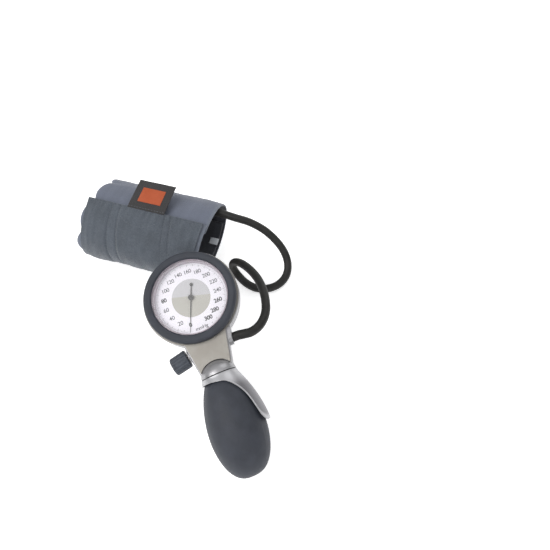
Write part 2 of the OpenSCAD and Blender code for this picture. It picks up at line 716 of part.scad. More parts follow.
// Air block: bulb at its lower end, bleed valve left, hose right, capsule above
chamber_r = 3;
chamber_l = 4.6;
bleed_r = 0.8;
bleed_l = 22;
inlet_r = 2.4;
block_low = cavity_floor + fit_gap;
module air_block() {
    color([0.3, 0.3, 0.32]) place_gauge() difference() {
        translate([-block_hw, -block_to, block_low])
            cube([2 * block_hw, block_l, z_shell - 0.3 - block_low]);
        grip_tube(block_from + 3, block_to + 1, air_r);
        grip_tube(block_to - chamber_l, block_to + 1, chamber_r + fit_gap);
        place_port() cylinder(h = block_hw + 1, r = air_r, $fn = 48);
        place_valve() translate([0, 0, -bleed_l]) cylinder(h = bleed_l, r = bleed_r, $fn = 32);
        translate([bar_x, -block_from + 1, nose_z]) rotate([90, 0, 0])
            cylinder(h = valve_u - block_from + 5, r = bar_hole_r, $fn = 24);
        place_valve() translate([0, 0, -bush_in - 1])
            cylinder(h = bush_in + 1, r = bush_r + fit_gap, $fn = 64);
        translate([0, -filter_u, block_low - 1]) cylinder(h = 3.4, r = inlet_r + open_gap, $fn = 48);
        translate([0, -filter_u, block_low - 1]) cylinder(h = 12, r = 0.9, $fn = 32);
    }
}

module hose_fitting() {
    color([0.75, 0.75, 0.77]) place_gauge() place_port() difference() {
        translate([0, 0, block_hw + fit_gap])
            cylinder(h = port_x - block_hw - fit_gap, r = fitting_r, $fn = 64);
        cylinder(h = port_x + 1, r = air_r, $fn = 48);
    }
}

// Bleed valve: the knob screws the spindle's cone onto and off the mouth of the air way
bush_out = 0.6;
bush_in = 11;
groove_in = 6;
module valve_bush() {
    color([0.75, 0.75, 0.77]) place_gauge() place_valve() difference() {
        translate([0, 0, -bush_in]) cylinder(h = bush_in - bush_out, r = bush_r, $fn = 64);
        translate([0, 0, -bush_in - 1]) cylinder(h = 14, r = spindle_r + run_gap, $fn = 48);
        translate([0, 0, -groove_in]) cylinder(h = 1.2, r = spindle_r + 1.3, $fn = 48);
    }
}

module valve_o_ring() {
    color([0.1, 0.1, 0.1]) place_gauge() place_valve() translate([0, 0, -groove_in + 0.05])
        difference() {
            cylinder(h = 1.1, r = spindle_r + 1.25, $fn = 48);
            translate([0, 0, -1]) cylinder(h = 4, r = spindle_r + run_gap, $fn = 48);
        }
}

spindle_in = bush_in + 0.3;
spindle_hold = 4;
module valve_spindle() {
    color([0.8, 0.8, 0.8]) place_gauge() place_valve() rotate_extrude($fn = 48) polygon([
        [0, -spindle_in], [0.5, -spindle_in], [spindle_r, -spindle_in + 2],
        [spindle_r, spindle_hold], [0, spindle_hold]]);
}

module valve_knob() {
    r = knob_d / 2;
    round_r = 1.5;
    groove_r = 0.75;
    color(slate) place_gauge() place_valve() difference() {
        rotate_extrude($fn = 96) polygon(concat(
            [[0, open_gap], [r - 0.6, open_gap], [r, open_gap + 0.6]],
            arc(r - round_r - 0.2, knob_l - round_r, round_r, 0, 90, 8), [[0, knob_l - 0.4]]));
        for (i = [0:knob_grooves - 1]) rotate([0, 0, (i + 0.5) * 360 / knob_grooves])
            translate([r + groove_r * 0.45, 0, 1.6]) cylinder(h = knob_l, r = groove_r, $fn = 20);
        cylinder(h = spindle_hold + run_gap, r = spindle_r + run_gap, $fn = 48);
    }
}

// A wire or hose: rings of points across a path, joined into one closed skin
function path_way(p, i) = unit(p[min(i + 1, len(p) - 1)] - p[max(i - 1, 0)]);
function side_of(t) = unit(abs(t[2]) > 0.95 ? cross(t, [1, 0, 0]) : cross(t, [0, 0, 1]));
// The side turns with the path and doesn't twist about it
function carried(p, i, s) = let (t = path_way(p, i)) unit(s - t * (s * t));
function sides_along(p, i, s, done) =
    i >= len(p) ? done : let (n = carried(p, i, s)) sides_along(p, i + 1, n, concat(done, [n]));
module sweep(p, r, around) {
    rings = len(p);
    sides = sides_along(p, 0, side_of(path_way(p, 0)), []);
    points = [for (i = [0:rings - 1], k = [0:around - 1])
        let (t = path_way(p, i), s = sides[i], b = cross(t, s), a = 360 * k / around)
        p[i] + r * (s * cos(a) + b * sin(a))];
    quads = [for (i = [0:rings - 2], k = [0:around - 1])
        let (j = (k + 1) % around, a = i * around + k, b = i * around + j)
        [[a, a + around, b + around], [a, b + around, b]]];
    faces = [for (q = quads, f = q) f];
    caps = concat(
        [for (k = [1:around - 2]) [0, k, k + 1]],
        [for (k = [1:around - 2]) let (e = (rings - 1) * around) [e, e + k + 1, e + k]]);
    polyhedron(points = points, faces = concat(faces, caps), convexity = 6);
}

module hairspring() {
    turns = 4;
    steps = 18;
    first_r = 1.4;
    pitch = 0.8;
    color([0.5, 0.5, 0.6]) place_gauge() translate([0, 0, top_plate_z - 0.3]) sweep(
        [for (i = [0:turns * steps]) let (a = 360 * i / steps, r = first_r + pitch * i / steps)
            [r * cos(a), r * sin(a), 0]], 0.12, 6);
}

seat_t = 1.2;
disc_t = 0.9;
disc_lift = 0.8;
disc_from = block_to - seat_t - fit_gap - disc_t;
module check_valve_seat() {
    color([0.75, 0.75, 0.77]) place_gauge() grip_tube(block_to - seat_t, block_to, chamber_r, 1.3);
}

module check_valve_disc() {
    color([0.15, 0.15, 0.15]) place_gauge() grip_tube(disc_from, disc_from + disc_t, chamber_r - 0.5);
}

module check_valve_spring() {
    turns = 3;
    steps = 12;
    wire_r = 0.15;
    room_from = block_to - chamber_l + wire_r + fit_gap;
    room = disc_from - fit_gap - wire_r - room_from;
    color([0.6, 0.6, 0.62]) place_gauge() translate([0, 0, z_axis]) sweep(
        [for (i = [0:turns * steps]) let (a = 360 * i / steps)
            [1.9 * cos(a), -room_from - room * i / (turns * steps), 1.9 * sin(a)]], wire_r, 6);
}

module inlet_valve_disc() {
    color([0.15, 0.15, 0.15]) place_gauge() translate([0, -filter_u, block_low + 0.15])
        cylinder(h = disc_t, r = inlet_r, $fn = 48);
}

module air_filter() {
    color([0.85, 0.85, 0.82]) place_gauge() translate([0, -filter_u, cavity_floor - 2.2])
        cylinder(h = 2, r = filter_r, $fn = 48);
}

// Collar: a dark seal, and the sleeve that the grip turns on
module collar_seal() {
    color([0.2, 0.2, 0.24]) place_gauge()
        grip_tube(collar_u, collar_u + seal_t, collar_r - 0.4, sleeve_r + 0.2);
}

sleeve_over = 8;
sleeve_to = grip_from + sleeve_over;
module swivel_sleeve() {
    color([0.72, 0.72, 0.74]) place_gauge() grip_tube(clip_room_from + 0.3, sleeve_to, sleeve_r, 3);
}

module retaining_clip() {
    color([0.55, 0.55, 0.57]) place_gauge()
        grip_tube(bearing_from - fit_gap - clip_t, bearing_from - fit_gap, clip_r, sleeve_r);
}

// Spoon: a turned shell round the top of the bulb, cut to a band and a long finger rest
band_l = 3.5;
band_in_r = collar_r - 0.9;
shell_to_bulb = 0.15;
spoon_soft = 0.05;
function spoon_in(u) = let (
    bulb_side = bulb_at(max(u, bulb_top + 2)) + shell_to_bulb,
    s = min(1, max(0, (u - grip_from) / (spoon_end - grip_from))),
    bowed = s * s / (s + spoon_soft),
    rise = (spoon_out - collar_r - 0.3) * (1 - pow(1 - bowed, 2)))
    max(band_in_r, bulb_side, collar_r + 0.3 - spoon_t + rise);
function spoon_wall(u) = u < grip_from + 1 ? collar_r + 0.2 : max(collar_r + 0.3, spoon_in(u) + spoon_t);

module spoon_profile() {
    steps = 26;
    us = [for (i = [0:steps]) grip_from + (spoon_end + 1 - grip_from) * i / steps];
    polygon(concat([for (u = us) [spoon_wall(u), u]],
        [for (i = [steps:-1:0]) [spoon_in(us[i]), us[i]]]));
}

// Outline of the band and spoon seen on the gauge's face: X and distance from the dial
module spoon_outline() {
    edge = [[3.7, 5.7], [7.3, 8.5], [10, 11.4], [12.6, 14.7], [14.9, 18.6], [17.2, 24.3], [19, 31.5], [20.3, 38]];
    polygon(concat(
        [[-20, grip_from - 1], [-20, grip_from + band_l - 0.4], [-8, grip_from + band_l],
         [-2.5, grip_from + band_l + 1]],
        [for (e = edge) [e[0], grip_from + e[1]]],
        arc(spoon_out - 2.6, spoon_end - 2.6, 2.6, 130, 0, 8),
        [[30, grip_from - 1]]));
}

// Outline of the same seen from the side: distance from the dial and height over the grip's axis
module spoon_side() {
    tip_hh = 14;
    tip_r = 7.5;
    mirror([1, 0]) polygon(concat(
        [[grip_from - 1, -20], [grip_from - 1, 20], [grip_from + 14, 18]],
        arc(spoon_end - tip_r, tip_hh - tip_r, tip_r, 80, 0, 8),
        arc(spoon_end - tip_r, tip_r - tip_hh, tip_r, 0, -80, 8),
        [[grip_from + 14, -18]]));
}

module spoon() {
    color(silver) place_gauge() union() {
        intersection() {
            turn_grip() spoon_profile();
            translate([0, 0, z_axis - 40]) mirror([0, 1, 0]) linear_extrude(80) spoon_outline();
            translate([-40, 0, z_axis]) rotate([90, 0, 90]) linear_extrude(80) spoon_side();
        }
        grip_tube(grip_from, grip_from + 1.2, collar_r - 0.5, sleeve_r);
    }
}

// Bulb: a hollow rubber shell whose thick neck grips the sleeve
neck_r = band_in_r - 1.4;
ring_out = band_in_r - 0.3;
ring_len = 1.8;
module bulb_profile() {
    steps = 44;
    from = bulb_top + ring_len + 0.4;
    // Points crowd together towards the round end
    us = [for (i = [0:steps]) from + (bulb_end - from) * sin(90 * i / steps)];
    in_end = bulb_end - bulb_wall;
    in_from = sleeve_to + 1;
    in_us = [for (i = [0:steps]) in_from + (in_end - in_from) * sin(90 * i / steps)];
    polygon(concat(
        [[sleeve_r, bulb_top], [neck_r, bulb_top], [neck_r, from]],
        [for (u = us) [min(bulb_at(u), u < from + 1.5 ? band_in_r - 0.1 : bulb_r), u]],
        [for (i = [steps:-1:0]) [max(0, bulb_at(in_us[i], bulb_r - bulb_wall, bulb_wall)), in_us[i]]],
        [[sleeve_r, sleeve_to]]));
}

module place_bulb() {
    translate([0, -grip_from, 0]) rotate([0, 0, -bulb_lean]) translate([0, grip_from, 0]) children();
}

module bulb() {
    color(slate) place_gauge() difference() {
        place_bulb() turn_grip() bulb_profile();
        grip_tube(bulb_top - 2, sleeve_to + 0.2, sleeve_r);
    }
}

module bulb_clamp_ring() {
    color([0.72, 0.72, 0.74]) place_gauge() place_bulb()
        grip_tube(bulb_top + 0.2, bulb_top + 0.2 + ring_len, ring_out - 0.2, neck_r);
}

// The hose's middle line from the port to the cuff, chosen point by point
hose_route = [
    [126.2, -71.6, 41.6], [125.6, -55, 39.8], [120, -41.4, 37], [108.8, -26.8, 33.2], [96, -17.6, 29],
    [85, -13, 22.6], [80.4, -12.6, 14.4], [84.2, -14.8, 7.2], [94.8, -20.6, 4.2], [107, -23.4, 3.8],
    [118, -20.2, 3.8], [126.2, -12.6, 4.2], [129.8, -3, 6.4], [128.2, 6.6, 10.6], [122.2, 14.4, 16.8],
    [112.6, 19.6, 24.2], [100.4, 23, 31.2], [86.4, 23.6, 37.2]];
// It leaves the port along the port's axis
port_mouth = port_x + fit_gap;
hose_starts = [for (p = [[0, 0], [6, 0], [12.5, -0.4]])
    gauge_at + gauge_way([port_mouth + p[0], -port_u + p[1], z_port])];
// It enters the roll along X, just inside the cuff's lining, and ends on the bladder's port
entry_angle = 50;
entry_in = 13;
entry_slope = 0.14;
entry_deep = sheet_t + hose_d / 2 + open_gap;
entry_at = roll_point(entry_angle + 360, entry_deep) + [0, roll_mid];
hose_ends = [for (d = [16, 6, 0, -entry_in])
    [cuff_l / 2 + d, entry_at[0], entry_at[1] - max(d, 0) * entry_slope]];
hose_line = concat(hose_starts, hose_route, hose_ends);
// Half-way points that keep the curve smooth through the chosen ones
function half_way(p, i) = let (a = p[max(i - 1, 0)], b = p[i], c = p[i + 1], d = p[min(i + 2, len(p) - 1)])
    (9 * (b + c) - a - d) / 16;
hose_path = concat([for (i = [0:len(hose_line) - 2], h = [0, 1]) h == 0 ? hose_line[i] : half_way(hose_line, i)],
    [hose_line[len(hose_line) - 1]]);

module air_hose() {
    color(hose_black) sweep(hose_path, hose_d / 2, 12);
}

// The hose's end on the bladder: a collar, and a foot that lies on the cuff's lining
port_l = 9;
module bladder_port() {
    out = roll_point(entry_angle + 360, 0) - roll_point(entry_angle + 360, 1);
    foot_r = 3.2;
    foot_at = hose_d / 2 + fit_gap;
    color([0.2, 0.2, 0.22])
        translate([cuff_l / 2 - entry_in - fit_gap, entry_at[0], entry_at[1]]) rotate([0, -90, 0])
        difference() {
            union() {
                cylinder(h = port_l, r = 2.6, $fn = 32);
                cylinder(h = 2, r = hose_d / 2, $fn = 32);
                translate([0, 0, port_l - foot_r]) rotate([0, 0, atan2(out[0], out[1])])
                    rotate([0, 90, 0]) cylinder(h = foot_at, r = 2, $fn = 32);
            }
            translate([0, 0, -1]) cylinder(h = port_l, r = 1.3, $fn = 32);
        }
}

// Children are drawn in depth and height about the roll's middle, and run along the cuff
module along_cuff(from, to) {
    translate([from, 0, roll_mid]) rotate([90, 0, 90]) linear_extrude(to - from) children();
}

module above_floor() {
    difference() {
        children();
        translate([-200, -200, -20]) cube([400, 400, 20]);
    }
}

// What is cut away at the left end between the round lobes
module left_end_cut() {
    half_turn = 180 / lobes;
    reach = roll_a * sin(half_turn);
    lobe_r = (reach * reach + lobe_h * lobe_h) / (2 * lobe_h);
    translate([-cuff_l / 2, 0, roll_mid]) difference() {
        translate([-1, -60, -60]) cube([lobe_h + 1, 120, 120]);
        for (i = [0:lobes - 1]) rotate([hem_angle + (2 * i + 1) * half_turn, 0, 0])
            translate([lobe_r, 0, 0]) rotate([-90, 0, 0]) cylinder(h = 60, r = lobe_r, $fn = 96);
    }
}

outer_to = hem_angle + 370;
inner_to = hem_angle + 590;
module cuff_outer() {
    color(lavender_grey) difference() {
        above_floor() along_cuff(-cuff_l / 2, cuff_l / 2)
            polygon(band_outline(hem_angle, outer_to, 0, cloth_t));
        left_end_cut();
    }
}

module cuff_bladder() {
    edge = 9;
    color([0.2, 0.2, 0.2]) along_cuff(-cuff_l / 2 + edge, cuff_l / 2 - edge)
        polygon(band_outline(hem_angle + 20, hem_angle + 250,
            cloth_t + fit_gap, cloth_t + fit_gap + bladder_t));
}

module cuff_lining() {
    deep = cloth_t + bladder_t + 2 * fit_gap;
    color(navy) difference() {
        along_cuff(-cuff_l / 2 + 1, cuff_l / 2 - 1)
            polygon(band_outline(hem_angle + 1, outer_to - 2, deep, deep + lining_t));
        left_end_cut();
    }
}

module cuff_inner_turn() {
    color(navy) difference() {
        along_cuff(-cuff_l / 2 + 0.5, cuff_l / 2 - 1.5)
            polygon(band_outline(outer_to + 1, inner_to, 0, sheet_t));
        left_end_cut();
    }
}

// The front pocket lies on the outer cloth, with two sewn channels
pocket_left = -cuff_l / 2 + 0.5;
pocket_right = cuff_l / 2 - 2.8;
pocket_seams = [-0.232, 0.234];
module cuff_pocket() {
    seam_w = 1.6;
    along = pocket_right - pocket_left;
    cuts = concat([0], [for (s = pocket_seams) along * (0.5 + s)], [along]);
    color(panel_grey) for (i = [0:len(cuts) - 2])
        along_cuff(pocket_left + cuts[i] + (i > 0 ? seam_w / 2 : 0),
            pocket_left + cuts[i + 1] - (i < len(cuts) - 2 ? seam_w / 2 : 0) )
            polygon(band_outline(hem_angle, hem_angle + 145, -pocket_t, -0.05));
}

// Woven tab sewn in at the hem, standing up behind it
label_t = 1.2;
label_along = 0.2;
label_rise = 9;
module place_label() {
    top = roll_point(hem_angle, -pocket_t);
    translate([label_along, top[0] - 1.6, roll_mid + top[1] + 0.3])
        rotate([label_rise, 0, 0]) children();
}

module label_tab() {
    color([0.2, 0.2, 0.2]) place_label() translate([-label_w / 2, 0, 0]) cube([label_w, label_l, label_t]);
}

module label_patch() {
    patch_w = label_w * 0.62;
    patch_l = label_l * 0.5;
    color([0.8, 0.42, 0.26]) place_label()
        translate([-patch_w / 2, (label_l - patch_l) / 2, label_t]) cube([patch_w, patch_l, 0.3]);
}

module size_tag() {
    tag_angle = 650;
    tag_l = 9;
    tag_h = 8;
    tag_t = 0.6;
    at = roll_point(tag_angle, sheet_t + tag_t + 2 * open_gap);
    n = roll_point(tag_angle, 0) - roll_point(tag_angle, 1);
    color([0.78, 0.8, 0.84]) translate([cuff_l / 2 - tag_l - 1, at[0], roll_mid + at[1]])
        rotate([atan2(n[1], n[0]), 0, 0]) translate([0, 0, -tag_h / 2]) cube([tag_l, tag_t, tag_h]);
}

main_housing();
front_plate();
housing_screws();
shock_ring();
bezel_ring();
lens();
dial_plate();
pointer();
pointer_hub();
gauge_case();
movement_top_plate();
movement_bottom_plate();
movement_pillars();
pinion_shaft();
hairspring();
sector_gear();
rocking_shaft();
push_pin();
pressure_capsule();
capsule_bar();
air_block();
hose_fitting();
valve_bush();
valve_o_ring();
valve_spindle();
valve_knob();
check_valve_seat();
check_valve_disc();
check_valve_spring();
inlet_valve_disc();
air_filter();
collar_seal();
swivel_sleeve();
retaining_clip();
spoon();
bulb();
bulb_clamp_ring();
air_hose();
bladder_port();
cuff_outer();
cuff_bladder();
cuff_lining();
cuff_inner_turn();
cuff_pocket();
label_tab();
label_patch();
size_tag();
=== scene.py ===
# A palm-held aneroid blood pressure gauge with its bulb, hose and rolled arm cuff. The script dresses the
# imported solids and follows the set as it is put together: hose, housing, dial, valve, grip and cuff.
from math import asin, cos, exp, pi, radians, sin, sqrt

import bmesh
import bpy
import numpy as np
from mathutils import Matrix, Vector, noise


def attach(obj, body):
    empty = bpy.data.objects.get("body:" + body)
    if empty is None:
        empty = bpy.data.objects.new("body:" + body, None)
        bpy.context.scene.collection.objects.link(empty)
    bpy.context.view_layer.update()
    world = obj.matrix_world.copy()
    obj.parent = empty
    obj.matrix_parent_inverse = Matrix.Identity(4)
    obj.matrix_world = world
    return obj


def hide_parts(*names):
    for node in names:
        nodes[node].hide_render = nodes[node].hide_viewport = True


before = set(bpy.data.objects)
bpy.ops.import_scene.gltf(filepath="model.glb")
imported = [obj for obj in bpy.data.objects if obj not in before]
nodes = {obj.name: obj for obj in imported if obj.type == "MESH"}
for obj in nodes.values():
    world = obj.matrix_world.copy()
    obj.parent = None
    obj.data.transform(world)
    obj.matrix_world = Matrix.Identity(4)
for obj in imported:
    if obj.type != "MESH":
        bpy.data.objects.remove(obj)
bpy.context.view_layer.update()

# The camera looks down on the set from behind the bulb, at the photograph's viewing angle.
# The picture is 550 pixels wide, its perspective is that of a lens of 486 pixels, and its middle is moved
# down by about a tenth of its width.
PICTURE, FOCAL, SENSOR = 550, 486, 36
view_turn, view_height, view_shift = radians(16.15), radians(52.1), -0.095
view_spot = (0.18636, -0.23708, 0.39378)
view_way = Vector((
    -sin(view_turn) * cos(view_height),
    cos(view_turn) * cos(view_height),
    -sin(view_height),
))


def linked(name, data):
    """A new object in the scene."""
    made = bpy.data.objects.new(name, data)
    bpy.context.scene.collection.objects.link(made)
    return made


def aimed(name, data, spot, way):
    """A camera or a lamp at a spot, turned to look a way."""
    made = linked(name, data)
    made.location, made.rotation_mode = spot, "QUATERNION"
    made.rotation_quaternion = way.to_track_quat("-Z", "Y")
    return made


camera_data = bpy.data.cameras.new("view")
camera_data.sensor_width = SENSOR
camera_data.lens = SENSOR * FOCAL / PICTURE
camera_data.shift_y = view_shift
camera_data.clip_start = 0.01
bpy.context.scene.camera = aimed("view", camera_data, view_spot, view_way)


# The air hose is a moulded rubber tube, 7.3 mm thick and 0.28 m long. It is pushed on the fitting in the
# gauge's port, lies on the table in one loop, and ends inside the roll, on the bladder's port.
MM = 0.001
gauge_at, gauge_turn, gauge_tilt, gauge_roll = (70.9, -76.5409, 62.9157), 39.6, 15.9, 7.5
# The roll's half width and half height, the height of its middle, and how far each turn lies in the last
roll_a, roll_b, roll_mid, turn_pitch = 43.2, 30.7, 28.3739, 3.8
cuff_l, hem_angle = 115, 97


def turned(degrees, axis):
    return Matrix.Rotation(radians(degrees), 4, axis)


gauge_pose = (
    Matrix.Translation(gauge_at)
    @ turned(gauge_turn, "Z")
    @ turned(gauge_tilt, "X")
    @ turned(-gauge_roll, "Y")
)


def roll_point(along, angle, depth=0.0):
    """A point of the rolled cuff: how far along the roll, its angle, and how deep under the outer face."""
    a = radians(angle)
    outward = Vector((cos(a) / roll_a, sin(a) / roll_b)).normalized()
    deep = depth + turn_pitch * (angle - hem_angle) / 360
    return Vector((
        along,
        roll_a * cos(a) - deep * outward.x,
        roll_b * sin(a) - deep * outward.y + roll_mid,
    ))


hose_d, sheet_t = 7.3, 3.3
port_mouth, port_u, z_port = 18.8, 40.5, -13.4
entry_angle, entry_gap, entry_fall = 410, 0.3, 0.14
entry = roll_point(cuff_l / 2, entry_angle, sheet_t + hose_d / 2 + entry_gap)
hose_line = (
    [gauge_pose @ Vector((port_mouth + x, y - port_u, z_port)) for x, y in ((0, 0), (5, -0.1), (9.5, -0.9))]
    + [Vector(p) for p in (
        (122.4, -83.2, 42.6), (126.4, -77.4, 42.3), (128.2, -70, 41.8), (127.8, -61.8, 41.1),
        (124.9, -52.8, 40.1), (120, -43.2, 38.4), (113.4, -34, 36.2), (105.8, -26.4, 33.7),
        (97.2, -20, 30.8), (89.2, -15.4, 27), (83, -12.8, 21.4), (80.6, -12.7, 14.4),
        (84.2, -14.8, 7.2), (94.8, -20.6, 4.2), (107, -23.4, 3.8), (118, -20.2, 3.8),
        (126.2, -12.6, 4.2), (129.8, -3, 6.4), (128.2, 6.6, 10.6), (122.2, 14.4, 16.8),
        (112.6, 19.6, 24.2), (100.4, 23, 31.2), (86.4, 23.6, 37.2))]
    + [entry + Vector((d, 0, -entry_fall * max(d, 0))) for d in (16, 6, 0, -13)]
)


def smooth_line(points, steps):
    """A curve through all the points, with so many steps from each to the next."""
    out = []
    for i in range(len(points) - 1):
        a, b, c, d = (points[min(max(i + k, 0), len(points) - 1)] for k in (-1, 0, 1, 2))
        for k in range(steps):
            t = k / steps
            out.append(0.5 * ((2 * b) + (c - a) * t + (2 * a - 5 * b + 4 * c - d) * t**2
                              + (3 * b - a - 3 * c + d) * t**3))
    return out + [points[-1]]


def make_piece(name, points, faces, finishes, flat=None, which=None, weld=0.002):
    """A mesh of points in millimetres. Doubles are merged and its faces are turned outwards. flat holds
    each point's place on the cut cloth in metres, and which the number of each face's finish. On the spoon,
    flat holds each point's painted shade and painted highlight instead of a place on the cloth."""
    mesh = bpy.data.meshes.new(name)
    mesh.from_pydata([tuple(MM * c for c in p) for p in points], [], faces)
    for finish in finishes if isinstance(finishes, list) else [finishes]:
        mesh.materials.append(finish.material)
    if which is not None:
        mesh.polygons.foreach_set("material_index", which)
    if flat is not None:
        layer = mesh.uv_layers.new(name="cut")
        for corner in mesh.loops:
            layer.data[corner.index].uv = flat[corner.vertex_index]
    work = bmesh.new()
    work.from_mesh(mesh)
    bmesh.ops.remove_doubles(work, verts=work.verts, dist=weld * MM)
    bmesh.ops.dissolve_degenerate(work, edges=work.edges, dist=weld * MM)
    bmesh.ops.recalc_face_normals(work, faces=work.faces)
    work.to_mesh(mesh)
    work.free()
    mesh.shade_smooth()
    return linked(name, mesh)


def ring_faces(rows, columns):
    """Four-sided faces over a grid of points that is stored row by row and closes on itself in a row."""
    return [
        (i * columns + k, i * columns + (k + 1) % columns,
         (i + 1) * columns + (k + 1) % columns, (i + 1) * columns + k)
        for i in range(rows - 1) for k in range(columns)
    ]


def tube(rings, around):
    """Rings of points, each with its centre, radius and way, which don't twist from one to the next."""
    side, points = Vector((0, 0, 1)), []
    for centre, radius, way in rings:
        side = (side - way * side.dot(way)).normalized()
        other = way.cross(side)
        points += [centre + radius * (side * cos(t) + other * sin(t))
                   for t in (2 * pi * k / around for k in range(around))]
    return points


class Value:
    """A socket of a node tree that takes part in sums as a number does."""

    def __init__(self, plan, socket):
        self.plan, self.socket = plan, socket

    def maths(self, operation, first, second=0.0):
        return self.plan.node("ShaderNodeMath", [first, second], operation=operation)

    def __add__(self, other):
        return self.maths("ADD", self, other)

    def __sub__(self, other):
        return self.maths("SUBTRACT", self, other)

    def __rsub__(self, other):
        return self.maths("SUBTRACT", other, self)

    def __mul__(self, other):
        return self.maths("MULTIPLY", self, other)

    def __truediv__(self, other):
        return self.maths("DIVIDE", self, other)

    def __rtruediv__(self, other):
        return self.maths("DIVIDE", other, self)

    __radd__, __rmul__ = __add__, __mul__

    def __getitem__(self, name):
        """Another socket of the same node."""
        return Value(self.plan, self.socket.node.outputs[name])


class Plan:
    """A node tree that is written as expressions."""

    def __init__(self, tree):
        self.tree = tree

    def node(self, kind, sockets=(), out=0, **settings):
        """A new node of a type, with its settings set first and then its sockets' values or links."""
        made = self.tree.nodes.new(kind)
        for name, value in settings.items():
            setattr(made, name, value)
        given = sockets.items() if isinstance(sockets, dict) else enumerate(sockets)
        for key, value in given:
            socket = made.inputs[key] if isinstance(key, int) else next(
                s for s in made.inputs if key in (s.identifier, s.name))
            if isinstance(value, Value):
                self.tree.links.new(value.socket, socket)
            else:
                socket.default_value = value
        if kind == "NodeGroupOutput":
            return None
        return Value(self, made.outputs[out] if isinstance(out, int) else next(
            s for s in made.outputs if out in (s.identifier, s.name)))


def shade(red, green, blue):
    """A colour as it is read off a screen, from 0 to 255, for a shader."""
    return tuple(((c / 255 + 0.055) / 1.055) ** 2.4 if c > 10 else c / 3294.6
                 for c in (red, green, blue)) + (1.0,)


class Finish(Plan):
    """The material of a piece: fixed values at once, and what varies over the surface by expressions."""

    def __init__(self, name, **fixed):
        self.material = bpy.data.materials.new(name)
        self.material.use_nodes = True
        super().__init__(self.material.node_tree)
        self.shader = self.tree.nodes["Principled BSDF"]
        for socket, value in fixed.items():
            self.shader.inputs[socket.replace("_", " ")].default_value = value

    def place(self, space="Object", scale=(1, 1, 1)):
        return self.node("ShaderNodeMapping", {
            "Vector": self.node("ShaderNodeTexCoord", out=space), "Scale": scale})

    def cloud(self, size, detail=2.0, at=None):
        """Noise whose patches are so many millimetres wide."""
        return self.node("ShaderNodeTexNoise", {
            "Vector": at or self.place(), "Scale": 1000 / size, "Detail": detail})

    def blend(self, share, first, second):
        return self.node("ShaderNodeMix", {
            "Factor_Float": share, "A_Color": shade(*first), "B_Color": shade(*second)},
            "Result_Color", data_type="RGBA")

    def spread(self, value, to_low, to_high, low=0.3, high=0.7):
        """Brings the usual range of a noise, or another one, to a new range."""
        return self.node("ShaderNodeMapRange", {
            "Value": value, "From Min": low, "From Max": high, "To Min": to_low, "To Max": to_high})

    def show(self, colour=None, roughness=None, height=None, depth=0.1):
        """Links what varies. The height's depth is in millimetres."""
        relief = None if height is None else self.node("ShaderNodeBump", {
            "Height": height, "Distance": depth * MM, "Strength": 1.0})
        for name, value in (("Base Color", colour), ("Roughness", roughness), ("Normal", relief)):
            if value is not None:
                self.tree.links.new(value.socket, self.shader.inputs[name])


hose_rubber = Finish("matt_black_rubber", Roughness=0.5, Specular_IOR_Level=0.3)
drawn = hose_rubber.cloud(260, 3, hose_rubber.place("UV", (40, 1, 1)))
dusty = hose_rubber.cloud(7, 4)
hose_rubber.show(
    hose_rubber.blend(hose_rubber.spread(dusty, 0, 1, 0.35, 0.7), (28, 28, 27), (40, 39, 37)),
    hose_rubber.spread(dusty, 0.42, 0.58), drawn + dusty * 0.5, 0.12)

hose_path = smooth_line(hose_line, 8)
hose_runs = np.concatenate([[0], np.cumsum([(b - a).length for a, b in zip(hose_path, hose_path[1:])])])
hose_ways = [(b - a).normalized() for a, b in zip(hose_path[:1] + hose_path, hose_path[1:] + hose_path[-1:])]
HOSE_SIDES = 28
# Both ends are cut square, and the mouth has a small round on its edge
hose_radii = [0, hose_d / 2 - 0.35] + [hose_d / 2] * (len(hose_path) - 2) + [hose_d / 2 - 0.3, 0]
hose_spots = [0] + list(range(len(hose_path))) + [len(hose_path) - 1]
hose_rings = [(hose_path[i], radius, hose_ways[i]) for i, radius in zip(hose_spots, hose_radii)]
hose = make_piece(
    "rubber_hose", tube(hose_rings, HOSE_SIDES), ring_faces(len(hose_rings), HOSE_SIDES), hose_rubber,
    [(k / HOSE_SIDES * 0.023, hose_runs[i] / 1000) for i in hose_spots for k in range(HOSE_SIDES)])
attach(hose, "gauge_and_cuff")
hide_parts("air_hose")
tuple(MM * c for c in hose_path[0])
[tuple(MM * c for c in p) for p in hose_path]


# The housing is a pressed silver shell with the head, the neck and the dome in one. It stays as packed,
# and a small tree joins its triangles and shades it smooth except at its real edges.
class Growth(Plan):
    """A tree that makes or changes a mesh, with named inputs. The ones without a value are linked."""

    def __init__(self, name, **inputs):
        super().__init__(bpy.data.node_groups.new(name, "GeometryNodeTree"))
        for key, (kind, *value) in inputs.items():
            made = self.tree.interface.new_socket(
                key.replace("_", " "), in_out="INPUT", socket_type=f"NodeSocket{kind}")
            if value:
                made.default_value = value[0]
        self.tree.interface.new_socket("Geometry", in_out="OUTPUT", socket_type="NodeSocketGeometry")
        self.given = self.node("NodeGroupInput")

    def grow(self, points, each, material, **sockets):
        """Ends the tree with a shape laid on points, realised and given its material."""
        laid = self.node("GeometryNodeInstanceOnPoints", {"Points": points, "Instance": each, **sockets})
        self.node("NodeGroupOutput", {"Geometry": self.node("GeometryNodeSetMaterial", {
            "Geometry": self.node("GeometryNodeRealizeInstances", {"Geometry": laid}),
            "Material": material})})


